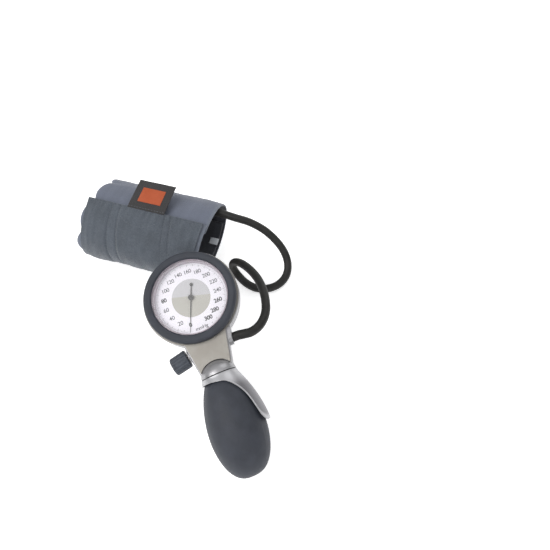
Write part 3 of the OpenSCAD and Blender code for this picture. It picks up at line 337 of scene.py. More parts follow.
shading = Growth("joined_and_smooth", Geometry=("Geometry",), Crease_angle=("Float", radians(28)))
joined = shading.node("GeometryNodeMergeByDistance", {"Geometry": shading.given, "Distance": 0.002 * MM})
bare = shading.node("GeometryNodeRemoveAttribute", {"Geometry": joined, "Name": "custom_normal"})
all_smooth = shading.node(
    "GeometryNodeSetShadeSmooth", {"Geometry": bare, "Shade Smooth": True}, domain="FACE")
gentle = shading.node("FunctionNodeCompare", {
    "A": shading.node("GeometryNodeInputMeshEdgeAngle"), "B": shading.given["Crease angle"]},
    data_type="FLOAT", operation="LESS_THAN")
edged = shading.node(
    "GeometryNodeSetShadeSmooth", {"Geometry": all_smooth, "Shade Smooth": gentle}, domain="EDGE")
shading.node("NodeGroupOutput", {"Geometry": edged})


def cover(mesh, finish):
    """Gives a mesh one finish all over."""
    mesh.materials.clear()
    mesh.materials.append(finish.material)
    mesh.polygons.foreach_set("material_index", [0] * len(mesh.polygons))


def dress(finish, *names):
    """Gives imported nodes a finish."""
    for name in names:
        node = nodes[name]
        cover(node.data, finish)
        node.modifiers.new("joined_and_smooth", "NODES").node_group = shading.tree


def speckled(name, size, detail, first, second, rough, depth=0.0, grain=0.0, **fixed):
    """A finish that wanders between two colours and two roughnesses in patches of a size in millimetres.
    The patches also stand out, or a finer grain does."""
    finish = Finish(name, **fixed)
    patch = finish.cloud(size, detail)
    height = finish.cloud(grain) if grain else patch
    finish.show(finish.blend(patch, first, second), finish.spread(patch, *rough),
                height if depth else None, depth)
    return finish


silver = Finish("satin_silver_paint", Metallic=0.55, IOR=1.5)
flake = silver.cloud(0.35, 2)
worn = silver.cloud(9, 4)
silver.show(
    silver.blend(silver.spread(worn, 0, 1, 0.35, 0.7), (148, 148, 150), (166, 165, 168)),
    silver.spread(flake + worn * 0.6, 0.3, 0.4, 0.5, 1.1), flake + worn * 0.3, 0.02)
dress(silver, "main_housing")

steel = speckled("zinc_plated_steel", 1.2, 3, (150, 152, 156), (190, 192, 196), (0.25, 0.42), 0.02,
                 Metallic=1.0)
dress(steel, "housing_screws", "retaining_clip", "gauge_case", "check_valve_spring")
nickel = speckled("satin_nickel_plate", 3, 3, (158, 156, 156), (178, 176, 176), (0.28, 0.4), 0.01, 0.5,
                  Metallic=1.0)
dress(nickel, "valve_spindle", "swivel_sleeve", "hose_fitting", "valve_bush", "bulb_clamp_ring",
      "check_valve_seat")


# The front plate is anodised in a warm grey. It covers the neck and runs on under the ring.
def grained(name, fine, broad, first, second, rough, depth, bounds=(0.35, 0.7), both=False, **fixed):
    """A finish with a fine grain in its face and broad patches in its colour. The roughness goes with
    the grain, or with both."""
    finish = Finish(name, **fixed)
    grain, patch = finish.cloud(*fine), finish.cloud(*broad)
    wear = finish.spread(grain + patch, *rough, 0.7, 1.3) if both else finish.spread(grain, *rough)
    finish.show(finish.blend(finish.spread(patch, 0, 1, *bounds), first, second), wear, grain, depth)
    return finish


champagne = grained("champagne_anodised_plate", (0.25, 2), (14, 3), (142, 138, 132), (152, 149, 143),
                    (0.4, 0.52), 0.02, (0.35, 0.68), Metallic=0.55, IOR=1.45)
dress(champagne, "front_plate")

# The works behind the dial are of brass, with a bronze hairspring and a bronze capsule. The block that
# joins the air's ways is black plastic, and the filter is felt.
brass = grained("machined_brass", (0.8, 3), (6, 3), (196, 164, 96), (164, 130, 70), (0.2, 0.38), 0.02,
                Metallic=1.0)
dress(brass, "movement_top_plate", "movement_bottom_plate", "movement_pillars", "sector_gear",
      "pinion_shaft", "rocking_shaft", "push_pin", "capsule_bar")
bronze = speckled("beryllium_bronze", 4, 3, (186, 128, 84), (150, 104, 72), (0.22, 0.36), 0.02,
                  Metallic=1.0)
dress(bronze, "hairspring", "pressure_capsule")
moulded = speckled("black_moulded_plastic", 0.4, 2, (26, 26, 28), (44, 44, 47), (0.4, 0.6), 0.05)
dress(moulded, "air_block", "collar_seal", "bladder_port")
felt = Finish("filter_felt", Roughness=0.95)
fibres = felt.cloud(0.5, 6)
felt.show(felt.blend(fibres, (190, 186, 176), (226, 222, 212)), height=fibres, depth=0.2)
dress(felt, "air_filter")


# The shock ring is soft rubber, pressed over the rim of the case. Its face is rounded outside and falls
# to a thin lip on the bezel.
def on_gauge(points):
    """Points in the gauge's own millimetres, brought to their place."""
    return [gauge_pose @ Vector(p) for p in points]


def arc(cx, cy, radius, start, end, steps):
    return [(cx + radius * cos(radians(start + (end - start) * i / steps)),
             cy + radius * sin(radians(start + (end - start) * i / steps)))
            for i in range(steps + 1)]


def revolved(profile, around, place):
    """Points and faces of a profile of (radius, height) that is turned about an axis. place turns
    a radius, an angle and a height into a point; the profile is a closed loop."""
    points = [place(r, 2 * pi * k / around, h) for r, h in profile + profile[:1]
              for k in range(around)]
    return points, ring_faces(len(profile) + 1, around)


def about_dial(r, t, h):
    return r * cos(t), r * sin(t), h


rubber = grained("slate_rubber", (0.32, 3), (11, 4), (53, 56, 63), (60, 63, 71), (0.5, 0.64), 0.06,
                 (0.36, 0.68), True, Roughness=0.55, Specular_IOR_Level=0.28)
ring_r, opening_r, z_plate = 36.25, 29.5, -6.4
lip_z = -1.6
ring_profile = (
    [(ring_r - 0.25, z_plate + 0.02), (ring_r + 0.05, z_plate + 0.35), (ring_r + 0.1, z_plate / 2)]
    + arc(ring_r - 2.6, -2.6, 2.6, 0, 90, 14)
    + [(opening_r + 3.4, -0.06), (opening_r + 2.2, -0.3)]
    + arc(opening_r + 1.6, -1, 0.7, 90, 170, 8)[1:]
    + [(opening_r + 0.25, lip_z + 0.2), (opening_r + 0.2, lip_z), (opening_r + 1.2, lip_z),
       (opening_r + 1.2, -3.8), (opening_r + 4.2, -3.8), (opening_r + 4.2, z_plate + 0.02)])
shock_points, shock_faces = revolved(ring_profile, 180, about_dial)
shock_ring = make_piece("rubber_shock_ring", on_gauge(shock_points), shock_faces, rubber)
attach(shock_ring, "gauge_and_cuff")
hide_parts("shock_ring")

# The bezel is a polished dark plastic rim between the ring and the white scale, and it holds the lens.
bezel = speckled("mauve_bezel_plastic", 5, 3, (158, 148, 158), (184, 172, 182), (0.16, 0.26), 0.01,
                 IOR=1.5, Coat_Weight=0.4, Coat_Roughness=0.08)
dress(bezel, "bezel_ring")
glass = Finish("clear_lens", Roughness=0.03, IOR=1.49, Base_Color=(1, 1, 1, 1), Alpha=0.07)
smear = glass.cloud(12, 4)
glass.show(roughness=glass.spread(smear, 0.02, 0.09, 0.4, 0.75))
dress(glass, "lens")

# The dial plate is enamelled white. Its scale runs clockwise from 0 to 300 over 320 degrees, and its
# print is thin ink: marks every 2, numbers every 20, the unit, and a grey disc in the middle whose upper
# half is painted lighter as a painted reflection.
enamel = speckled("white_enamel", 20, 2, (240, 238, 245), (233, 230, 240), (0.3, 0.42), 0.01, 0.6,
                  Roughness=0.38, IOR=1.5)
dress(enamel, "dial_plate")
ink = speckled("black_scale_ink", 0.2, 2, (38, 38, 44), (60, 60, 68), (0.45, 0.65))
grey_ink = speckled("grey_scale_ink", 0.2, 2, (70, 70, 78), (90, 90, 98), (0.45, 0.65))

dial_top = -8.3
zero_angle, sweep, scale_end = 250, 320, 300
marks = Growth(
    "scale_marks", Marks=("Int", 151), Radius=("Float", 0.027), Length=("Float", 0.0011),
    Width=("Float", 0.00013), Height=("Float", 0.00004), Start=("Float", radians(zero_angle)),
    Sweep=("Float", radians(sweep)), Ink=("Material", grey_ink.material))
wanted = marks.given
number = marks.node("GeometryNodeInputIndex")
turn = wanted["Start"] - wanted["Sweep"] * number / (wanted["Marks"] - 1)
fifth = marks.node("ShaderNodeMath", [number.maths("MODULO", number, 5), 0, 0.1], operation="COMPARE")
long_mark = 1 + fifth * 0.75
reach = wanted["Radius"] - wanted["Length"] * (long_mark - 1) * 0.5
spot = marks.node("ShaderNodeCombineXYZ", [
    reach * marks.node("ShaderNodeMath", [turn], operation="COSINE"),
    reach * marks.node("ShaderNodeMath", [turn], operation="SINE"), 0.0])
row = marks.node("GeometryNodeMeshLine", {"Count": wanted["Marks"]})
ring_of_marks = marks.node("GeometryNodeSetPosition", {"Geometry": row, "Position": spot})
one_mark = marks.node("GeometryNodeMeshCube", {"Size": marks.node("ShaderNodeCombineXYZ", [
    wanted["Length"], wanted["Width"], wanted["Height"]])})
marks.grow(ring_of_marks, one_mark, wanted["Ink"],
           Rotation=marks.node("ShaderNodeCombineXYZ", [0.0, 0.0, turn]),
           Scale=marks.node("ShaderNodeCombineXYZ", [long_mark, 1 + fifth * 0.7, 1.0]))


def settled(carrier):
    """The plain mesh that an object shows, which takes the object's place."""
    bpy.context.view_layer.update()
    mesh = bpy.data.meshes.new_from_object(carrier.evaluated_get(bpy.context.evaluated_depsgraph_get()))
    bpy.data.objects.remove(carrier)
    return mesh


def grown(name, tree, base=None, **sizes):
    """The plain mesh that a tree makes, with its named inputs set."""
    carrier = linked(name, base or bpy.data.meshes.new(name))
    modifier = carrier.modifiers.new(name, "NODES")
    modifier.node_group = tree
    for item in tree.interface.items_tree:
        if item.in_out == "INPUT" and item.name in sizes:
            modifier[item.identifier] = sizes[item.name]
    return settled(carrier)


def written(body, x, y, size, weight=0.0):
    """Ink in the shape of plain characters, at a place on the dial."""
    text = bpy.data.curves.new("text", "FONT")
    text.body, text.size, text.offset = body, size * MM, weight * MM
    text.extrude, text.resolution_u = 0.02 * MM, 3
    text.align_x, text.align_y, text.space_character = "CENTER", "CENTER", 0.94
    mesh = settled(linked("text", text))
    mesh.transform(Matrix.Translation((x * MM, y * MM, 0)))
    return mesh


gauge_place = Matrix.Scale(MM, 4) @ gauge_pose @ Matrix.Scale(1 / MM, 4)


def gathered(name, meshes, finish, place):
    """Several meshes as one piece, brought to their place."""
    work = bmesh.new()
    for mesh in meshes:
        work.from_mesh(mesh)
    bmesh.ops.remove_doubles(work, verts=work.verts, dist=1e-7)
    bmesh.ops.recalc_face_normals(work, faces=work.faces)
    whole = bpy.data.meshes.new(name)
    work.to_mesh(whole)
    work.free()
    whole.transform(place)
    cover(whole, finish)
    return linked(name, whole)


numbers_r, number_size = 21.4, 4.5
bold = (0, 80, 260, 280, 300)
prints = {"thin": [grown("scale_marks", marks.tree), written("mmHg", 0.2, -25, 3.8, 0.05)], "bold": []}
for value in range(0, scale_end + 1, 20):
    at = radians(zero_angle - sweep * value / scale_end)
    kind = "bold" if value in bold else "thin"
    prints[kind].append(written(
        str(value), numbers_r * cos(at), numbers_r * sin(at), number_size,
        0.17 if kind == "bold" else 0.06))
ink_z = dial_top + 0.05
for kind, meshes in prints.items():
    dial_print = gathered(f"dial_print_{kind}", meshes, ink if kind == "bold" else grey_ink,
                          gauge_place @ Matrix.Translation((0, 0, ink_z * MM)))
    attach(dial_print, "gauge_and_cuff")

# The disc's two halves meet on a line that crosses just over the hub. The lower half is the disc's grey
# print, and the upper half is painted lighter as a painted reflection in the lens.
disc_r, split_turn, split_over = 15.3, -16, 1.4
for half, *tones in (("upper", (190, 189, 193), (184, 183, 187)),
                     ("lower", (176, 174, 166), (170, 168, 160))):
    tone = speckled(f"disc_ink_{half}", 9, 3, *tones, (0.4, 0.5))
    start = asin(split_over / disc_r)
    span = pi - 2 * start if half == "upper" else -(pi + 2 * start)
    rim = [(disc_r * cos(start + span * k / 72), disc_r * sin(start + span * k / 72))
           for k in range(73)]
    middle = (0.0, split_over)
    points = [turned(split_turn, "Z") @ Vector((x, y, z))
              for z in (dial_top + 0.02, dial_top + 0.05) for x, y in [middle] + rim]
    n = len(rim) + 1
    faces = [(0, k + 1, k) for k in range(1, n - 1)] + [(n, n + k, n + k + 1) for k in range(1, n - 1)]
    faces += [(k, k + 1, n + k + 1, n + k) for k in range(1, n - 1)]
    faces += [(0, 1, n + 1, n), (n - 1, 0, n, n + n - 1)]
    disc = make_piece(f"disc_{half}", on_gauge(points), faces, tone, weld=0.0001)
    disc.data.shade_flat()
    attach(disc, "gauge_and_cuff")

# The needle and its hub are enamelled black and turn on the pinion's shaft, whose end is plugged.
enamel_black = speckled("black_needle_enamel", 1.5, 2, (10, 10, 11), (20, 20, 23), (0.28, 0.42))
dress(enamel_black, "pointer", "pointer_hub")
plug_profile = [(0, 1.45), (0.56, 1.45), (0.56, 1.88), (0.35, 2), (0, 2.04)]
plug_points, plug_faces = revolved([(r, dial_top + h) for r, h in plug_profile], 32, about_dial)
plug = make_piece("hub_plug", on_gauge(plug_points), plug_faces, enamel_black)
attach(plug, "pointer_train")

# The bleed knob is moulded in the ring's slate colour, with soft flutes for the finger and a rounded end.
# It is screwed on the spindle, which turns in a plated bush.
knob_finish = grained("slate_knob_plastic", (0.3, 2), (3, 4), (58, 63, 71), (72, 77, 86), (0.36, 0.52),
                      0.04, both=True, Roughness=0.45, Specular_IOR_Level=0.35)
valve_at, valve_lean = (-17.5, -42, -14), 11
valve_pose = (gauge_pose @ Matrix.Translation(valve_at) @ turned(180 + valve_lean, "Z")
              @ turned(90, "Y"))
knob_r, knob_l, flutes, flute_deep = 7.2, 13.4, 14, 0.46
knob_profile = (
    [(0.0, 0.3), (6.2, 0.3), (6.7, 0.38), (6.98, 0.7), (7.12, 1.1)]
    + [(knob_r - 0.012 * h, h) for h in np.arange(1.6, 11.6, 0.6)]
    + [(r, h) for r, h in arc(knob_r - 1.75, knob_l - 1.6, 1.6, 6, 88, 9)]
    + [(3.4, knob_l - 0.02), (2.6, knob_l - 0.12), (1.6, knob_l - 0.3), (0.0, knob_l - 0.36)])
KNOB_SIDES = 14 * flutes
knob_points = []
for r, h in knob_profile:
    fades = min(1, max(0, (h - 0.9) / 1.2)) * min(1, max(0, (knob_l + 0.35 - h) / 1.6)) * min(1, r / 5)
    for k in range(KNOB_SIDES):
        t = 2 * pi * k / KNOB_SIDES
        cut = flute_deep * fades * (0.5 + 0.5 * cos(flutes * t)) ** 2.2
        knob_points.append(valve_pose @ Vector(((r - cut) * cos(t), (r - cut) * sin(t), h)))
knob = make_piece("bleed_knob", knob_points, ring_faces(len(knob_profile), KNOB_SIDES), knob_finish)
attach(knob, "knob")
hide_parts("valve_knob")


# The collar and the spoon are one chromed shell that hugs the top of the bulb. It turns on a plated
# sleeve, and its long side flares off the bulb as a finger rest.
grip_from, z_axis = 62.9, -12.4
bulb_r, bulb_top, bulb_end, bulb_root = 21.5, 64.6, 136, 57
spoon_end, spoon_out, spoon_t = 105, 24.7, 1.1
band_in_r, collar_r, sleeve_r, sleeve_to = 12.8, 13.7, 7.95, 70.9


def bulb_at(u, radius=bulb_r, trim=0.0):
    """The bulb's radius at a distance from the dial's middle."""
    share = (u - bulb_root - trim) / (bulb_end - bulb_root - 2 * trim)
    return radius * sin(pi * share**1.22) ** 0.36 if 0 < share < 1 else 0.0


def spoon_in(u):
    share = min(1.0, max(0.0, (u - grip_from) / (spoon_end - grip_from)))
    bowed = share**2 / (share + 0.05)
    rise = (spoon_out - collar_r - 0.3) * (1 - (1 - bowed) ** 2)
    return max(band_in_r, bulb_at(max(u, bulb_top + 2)) + 0.15, collar_r + 0.3 - spoon_t + rise)


def spoon_wall(u):
    return max(collar_r + (0.2 if u < grip_from + 1 else 0.3), spoon_in(u) + spoon_t)


def in_grip(r, t, u):
    """A point about the grip's axis; the angle is 0 on the spoon's side."""
    return r * cos(t), -u, z_axis + r * sin(t)


# The shell's edge in the front view, as the distance from the dial over the place across the gauge. In
# the side view it narrows and ends in a round tip.
edge_line = smooth_line([Vector((x, grip_from + d, 0)) for x, d in (
    (-20, 3.1), (-8, 3.6), (-2, 4.6), (3.7, 6.0), (7.3, 8.5), (10, 11.4), (12.6, 14.7), (14.9, 18.6),
    (17.2, 24.3), (19, 31.5), (20.1, 37.2), (20.9, 41.2), (22, 42.1), (27, 42.1))], 6)
edge_x, edge_u = [p.x for p in edge_line], [p.y for p in edge_line]
side_half, side_narrows, narrow_from, narrow_to = 18, 4.1, 76.9, 98.8
tip_half, tip_r, tip_mid, band_to = 6.5, 7.5, 97.5, 70


def shell_end(t):
    """How far down the shell reaches at an angle: bisection on its front and side outlines."""
    low, high = grip_from, spoon_end
    for _ in range(30):
        u = (low + high) / 2
        r = spoon_wall(u)
        side = tip_half + sqrt(max(0, tip_r**2 - (u - tip_mid) ** 2))
        if u < narrow_to:
            side = side_half - side_narrows * max(0, (u - narrow_from) / (narrow_to - narrow_from))
        inside = u < np.interp(r * cos(t), edge_x, edge_u) and (
            u < band_to or r * abs(sin(t)) < side)
        low, high = (u, high) if inside else (low, u)
    return low


def soft(x, low, high):
    """Goes smoothly from 0 at low to 1 at high."""
    s = min(1.0, max(0.0, (x - low) / (high - low)))
    return s * s * (3 - 2 * s)


SHELL_SIDES, SHELL_ROWS = 288, 44
shell_turns = [2 * pi * (k / SHELL_SIDES) - pi for k in range(SHELL_SIDES)]
shell_ends = [shell_end(t) for t in shell_turns]
for _ in range(2):
    shell_ends = [(shell_ends[k - 1] + 2 * shell_ends[k] + shell_ends[(k + 1) % SHELL_SIDES]) / 4
                  for k in range(SHELL_SIDES)]


def shell_u(row, end):
    return grip_from + (end - grip_from) * (row / SHELL_ROWS) ** 0.9


def shell_rows(radius_at):
    """Rows of points on one face of the shell, from the collar's top to the shell's edge."""
    return [[Vector(in_grip(radius_at(u), t, u)) for t, end in zip(shell_turns, shell_ends)
             for u in [shell_u(row, end)]] for row in range(SHELL_ROWS + 1)]


outer_rows, inner_rows = shell_rows(spoon_wall), shell_rows(spoon_in)
RIM_ROWS, rim_bulge = 5, 0.42
rim_rows = [[] for _ in range(RIM_ROWS)]
for k in range(SHELL_SIDES):
    out_p, in_p = outer_rows[-1][k], inner_rows[-1][k]
    along = (outer_rows[-1][(k + 1) % SHELL_SIDES] - outer_rows[-1][k - 1]).normalized()
    wall = out_p - in_p
    down = along.cross(wall).normalized()
    down = -down if down.y > 0 else down
    for j in range(RIM_ROWS):
        a = pi * (j + 1) / (RIM_ROWS + 1)
        rim_rows[j].append((out_p + in_p) / 2 + wall * (cos(a) / 2) + down * (rim_bulge * sin(a)))
lip_rows = [[Vector(in_grip(collar_r + 0.05, t, grip_from - 0.02)) for t in shell_turns]]
outer_rows[0] = [Vector(in_grip(collar_r + 0.2, t, grip_from + 0.15)) for t in shell_turns]
spoon_rows = outer_rows + rim_rows + inner_rows[::-1] + lip_rows
spoon_points = [p for row in spoon_rows + spoon_rows[:1] for p in row]
spoon_faces = ring_faces(len(spoon_rows) + 1, SHELL_SIDES)
floor_profile = [(sleeve_r + 0.05, grip_from), (collar_r - 0.5, grip_from),
                 (collar_r - 0.5, grip_from + 1.2), (sleeve_r + 0.05, grip_from + 1.2)]
floor_points, floor_faces = revolved(floor_profile, 96, in_grip)
spoon_faces += [tuple(i + len(spoon_points) for i in f) for f in floor_faces]
# The outer face is painted darker than the collar's band as painted shade, the rim is painted light as a
# painted highlight, and the inside is painted half as dark as painted shade
spoon_painted_light = []
for i in range(len(spoon_points)):
    row, k = i // SHELL_SIDES, i % SHELL_SIDES
    u = shell_u(min(row, SHELL_ROWS), shell_ends[k])
    dark = 1 - soft(row, SHELL_ROWS - 5, SHELL_ROWS - 1) if row <= SHELL_ROWS + RIM_ROWS else 0.6
    spoon_painted_light.append((soft(u, grip_from + 4, grip_from + 14) * dark, 0.0))
spoon_painted_light += [(0.0, 0.0)] * len(floor_points)
cast = Finish("satin_chrome_cast", Metallic=0.6, IOR=1.45)
grain = cast.cloud(0.4, 3)
# The UV's first value is each point's share of painted shade; where it is low the rim shows a painted
# highlight
painted_shade_and_highlight = cast.node("ShaderNodeSeparateXYZ", {"Vector": cast.place("UV")})
cast.show(cast.blend(painted_shade_and_highlight * 0.85 + grain * 0.15, (182, 182, 185), (104, 103, 107)),
          cast.spread(grain, 0.34, 0.44), grain, 0.02)
spoon = make_piece("collar_and_spoon", on_gauge(spoon_points + floor_points), spoon_faces, cast, spoon_painted_light)
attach(spoon, "grip")
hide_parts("spoon")

# The bulb is dipped slate rubber, 43 mm across, with a faint mould line down two sides. Its thick neck
# is clamped on the sleeve, and it leans a little away from the spoon.
bulb_from, bulb_wall = bulb_top + 2.2, 2.2
outer_us = [bulb_from + (bulb_end - bulb_from) * sin(pi / 2 * i / 72) for i in range(73)]
inner_us = [sleeve_to + 1 + (bulb_end - bulb_wall - 1 - sleeve_to) * sin(pi / 2 * i / 40)
            for i in range(41)]
bulb_profile = (
    [(sleeve_r, bulb_top), (11.0, bulb_top), (11.4, bulb_top + 0.3), (11.4, bulb_from)]
    + [(min(bulb_at(u), band_in_r - 0.1 if u < bulb_from + 1.5 else bulb_r), u) for u in outer_us]
    + [(bulb_at(u, bulb_r - bulb_wall, bulb_wall), u) for u in reversed(inner_us)]
    + [(sleeve_r, sleeve_to)])
bulb_lean = (Matrix.Translation((0, -grip_from, 0)) @ turned(-0.5, "Z")
             @ Matrix.Translation((0, grip_from, 0)))


def in_bulb(r, t, u):
    """A point of the bulb, which leans and has a low mould line down two sides."""
    mould_line = 0.09 * exp(-((abs(sin(t - 0.6)) * max(r, 1) / 0.55) ** 2)) if r > 12.6 else 0
    return bulb_lean @ Vector(in_grip(r + mould_line, t, u))


bulb_points, bulb_faces = revolved(bulb_profile, 224, in_bulb)
bulb = make_piece("rubber_bulb", on_gauge(bulb_points), bulb_faces, rubber)
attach(bulb, "grip")
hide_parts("bulb")


# The cuff is two cloths sewn round a flat bladder and rolled up from its inner end. Its edges are sewn
# down, and at the left end the roll stands out in round lobes. The hem lies on top of the roll.
def woven(name, first, second, thread=0.55, relief=0.06, rough=(0.72, 0.9), fleck=0.25, **fixed):
    """A plain weave that follows the cut of the cloth, with long soft streaks of colour in it."""
    finish = Finish(name, **fixed)
    cut = finish.place("UV", (1000, 1000, 1000))
    parts = finish.node("ShaderNodeSeparateXYZ", {"Vector": cut})
    warp = parts.maths("SINE", parts * (2 * pi / thread))
    weft = parts.maths("SINE", parts["Y"] * (2 * pi / thread))
    cross = warp * weft
    streak = finish.node("ShaderNodeTexNoise", {
        "Vector": finish.place("UV", (160, 24, 1)), "Scale": 1.0, "Detail": 4.0})
    patch = finish.cloud(16, 4)
    flecks = finish.cloud(1.1, 3)
    tone = finish.spread(streak * (0.55 - fleck) + patch * 0.45 + flecks * fleck, 0, 1, 0.36, 0.64)
    finish.show(finish.blend(cross * 0.16 + tone * 0.8 + 0.08, first, second),
                finish.spread(patch, *rough), cross * 0.5 + flecks * 1.6, relief)
    return finish


cuff_cloth = woven("lavender_cuff_cloth", (92, 98, 111), (108, 114, 129),
                   Sheen_Weight=0.25, Sheen_Roughness=0.4)
navy_cloth = woven("dark_loop_lining", (24, 27, 36), (40, 43, 54), 0.9, 0.2, (0.85, 0.98),
                   Sheen_Weight=0.3, Sheen_Roughness=0.6)
hem_to, roll_to = 467, 687
lobe_turn, lobe_h = 45, 5
lobe_reach = roll_a * sin(radians(lobe_turn / 2))
lobe_r = (lobe_reach**2 + lobe_h**2) / (2 * lobe_h)


def turn_length(angle):
    """Millimetres of cloth from the hem to an angle of the roll."""
    wound = radians(angle - hem_angle)
    mean = sqrt((roll_a**2 + roll_b**2) / 2) - turn_pitch * wound / (4 * pi)
    return mean * wound


def left_end(angle):
    """The left edge of the roll, whose lobes are arcs of circles."""
    off = (((angle - hem_angle) / lobe_turn) % 1 - 0.5) * 2 * lobe_reach
    return -cuff_l / 2 + lobe_r - sqrt(lobe_r**2 - off**2)


def crumple(x, s, size_x, size_s, seed):
    return noise.noise(Vector((x / size_x, s / size_s, seed)))


def cuff_lift(x, angle):
    """How far the outer cloth stands proud of its rolled place: folds, soft dents and creased lobes."""
    s = turn_length(angle)
    lift = 0.45 * crumple(x, s, 26, 14, 3.1) + 0.28 * crumple(x, s, 9, 24, 7.7)
    lift += 0.12 * crumple(x, s, 4, 5, 1.3)
    near_crease = abs((((angle - hem_angle) / lobe_turn + 0.5) % 1) - 0.5) * lobe_turn * 0.62
    from_end = x - left_end(angle)
    lift -= 1.5 * exp(-((near_crease / 2.4) ** 2)) * exp(-from_end / 7)
    lift += 0.5 * exp(-(((x - 30) / 40) ** 2)) * sin(radians(angle - 370)) ** 2
    return lift


def rounded(share):
    """The rise of a rounded edge, from 0 at its foot to 1 where the round ends."""
    return sqrt(max(0, 1 - (1 - min(1, share)) ** 2))


def there_and_back(places):
    """A row's places on the outer face of a cloth, 0, and back on the inner one, 1."""
    return [(0, x) for x in places] + [(1, x) for x in reversed(places)]


turn_mm = 0.63
left_round, right_round, seam_deep = 4.2, 1.3, 0.55
end_steps = [0, 0.2, 0.5, 0.9, 1.5, 2.3, 3.3, 4.6, 6.2, 8.2, 10.6]
hem_steps = [0, 0.08, 0.25, 0.5, 0.9, 1.4, 2.0]
cuff_angles = ([hem_angle + d / turn_mm for d in hem_steps]
               + list(np.arange(hem_angle + 5, roll_to - 4.9, 2.5))
               + [roll_to - d / turn_mm for d in reversed(hem_steps)])
cuff_points, cuff_cut = [], []
for angle in cuff_angles:
    left, right = left_end(angle), cuff_l / 2 - (0 if angle < hem_to else 1.5)
    span = right - left
    middle = np.linspace(end_steps[-1], span - end_steps[-1], 62)[1:-1]
    places = end_steps + list(middle) + [span - d for d in reversed(end_steps)]
    s = turn_length(angle)
    full = rounded(min(angle - hem_angle, roll_to - angle) * turn_mm / 2)
    for face, d in there_and_back(places):
        x = left + d
        shut = 1 - min(rounded(d / left_round), rounded((span - d) / right_round))
        sewn = seam_deep * (1 - soft(span - d, 3.6, 7))
        rest = (sheet_t / 2) * shut + sewn * (1 - shut)
        depth = rest if face == 0 else sheet_t - rest
        depth = sheet_t / 2 + (depth - sheet_t / 2) * full
        if angle < hem_to and face == 0:
            loose = soft(angle, 243, 275) * soft(hem_to - angle, 0, 8)
            depth -= cuff_lift(x, angle) * (1 - shut) * loose
        p = roll_point(x, angle, depth)
        p.z = max(p.z, 0.0 if face == 0 else 1.2)
        cuff_points.append(p)
        cuff_cut.append((x / 1000, s / 1000))
cuff_columns = len(cuff_points) // len(cuff_angles)
half = cuff_columns // 2
binding = woven("pale_edge_binding", (96, 102, 114), (112, 118, 130), 0.4, Sheen_Weight=0.2)
# The outermost turn shows its cloth outside, its lining inside and a binding along the right edge
outer_turn = sum(1 for angle in cuff_angles[1:] if angle <= hem_to)
column_finish = [0] * (half - 6) + [2] * 7 + [1] * (cuff_columns - half - 1)
cuff = make_piece(
    "rolled_cuff", cuff_points, ring_faces(len(cuff_angles), cuff_columns),
    [cuff_cloth, navy_cloth, binding], cuff_cut,
    column_finish * outer_turn + [1] * cuff_columns * (len(cuff_angles) - 1 - outer_turn), weld=0.01)
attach(cuff, "gauge_and_cuff")
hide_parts("cuff_outer", "cuff_lining", "cuff_inner_turn")
rubber_black = speckled("black_bladder_rubber", 8, 4, (34, 34, 36), (54, 54, 56), (0.5, 0.7), 0.05)
dress(rubber_black, "cuff_bladder", "valve_o_ring", "check_valve_disc", "inlet_valve_disc")

# The pocket for the bladder is a panel of the same cloth, in a greener grey. Two double-stitched bands
# hold it down, its top hem is gathered, and the cloth between the bands stands up in soft folds.
pocket_cloth = woven("grey_pocket_cloth", (64, 70, 78), (91, 98, 107), relief=0.1, fleck=0.42,
                     Sheen_Weight=0.25, Sheen_Roughness=0.4)
pocket_left, pocket_right, pocket_top, pocket_low = -57, 54.7, 97, 242
panel_out, panel_bed = 0.75, 0.4
# Each band's place along the hem, its slant, its half width and how fast that grows
bands = ((-28.05, 0.165, 3.75, 0.02), (21.75, 0.2, 2.7, 0.025))


def pocket_lift(x, angle):
    """How far the panel stands off the cuff. It is flat where the gauge's head leans on it."""
    s = turn_length(angle)
    edge = min(x - pocket_left, pocket_right - x)
    free = soft(edge, 2, 8) * soft(turn_length(pocket_low) - s, 0, 5)
    pulled = 0.3 * exp(-(((edge - 1.6) / 0.7) ** 2)) + 0.3 * exp(-(((s - 2.1) / 0.7) ** 2))
    for at, slant, half_band, widens in bands:
        half_band += widens * s
        off = abs(x - at - slant * s)
        free *= 0.25 + 0.75 * soft(off, half_band - 0.4, half_band + 3)
        pulled += (0.6 + 0.25 * sin(s * 2.1 + at)) * exp(-(((off - half_band) / 0.75) ** 2))
    folds = 0.9 + 0.85 * crumple(x, s, 17, 34, 5.5) + 0.65 * crumple(x, s, 6, 13, 2.2)
    gather = 0.8 * crumple(x, s, 3.1, 30, 8.8) * exp(-abs(s - 3) / 5)
    leaned_on = soft(x, 14, 27) * soft(angle, 128, 146) * (1 - soft(angle, 205, 218))
    hem = 0.45 * (1 - soft(abs(s - 1.1), 0.7, 1.8))
    height = free * folds * (0.35 + 0.65 * soft(s, 1.5, 9)) + gather * soft(edge, 0, 3) + hem
    return (height + 0.35 * soft(edge, 0, 0.8) - pulled * soft(edge, 0, 0.8)) * (1 - 0.85 * leaned_on)


def drawn_in(x, angle):
    """The panel's left edge is drawn in between its corners, so that the lobes of the roll look out."""
    share = min(1.0, max(0.0, (angle - pocket_top) / (pocket_low - pocket_top)))
    return x + 4.6 * sin(pi * share) ** 0.8 * (1 - soft(x, pocket_left, -30))


def pocket_point(x, angle, over=0.0):
    return roll_point(drawn_in(x, angle), angle, -panel_out - pocket_lift(x, angle) - over)


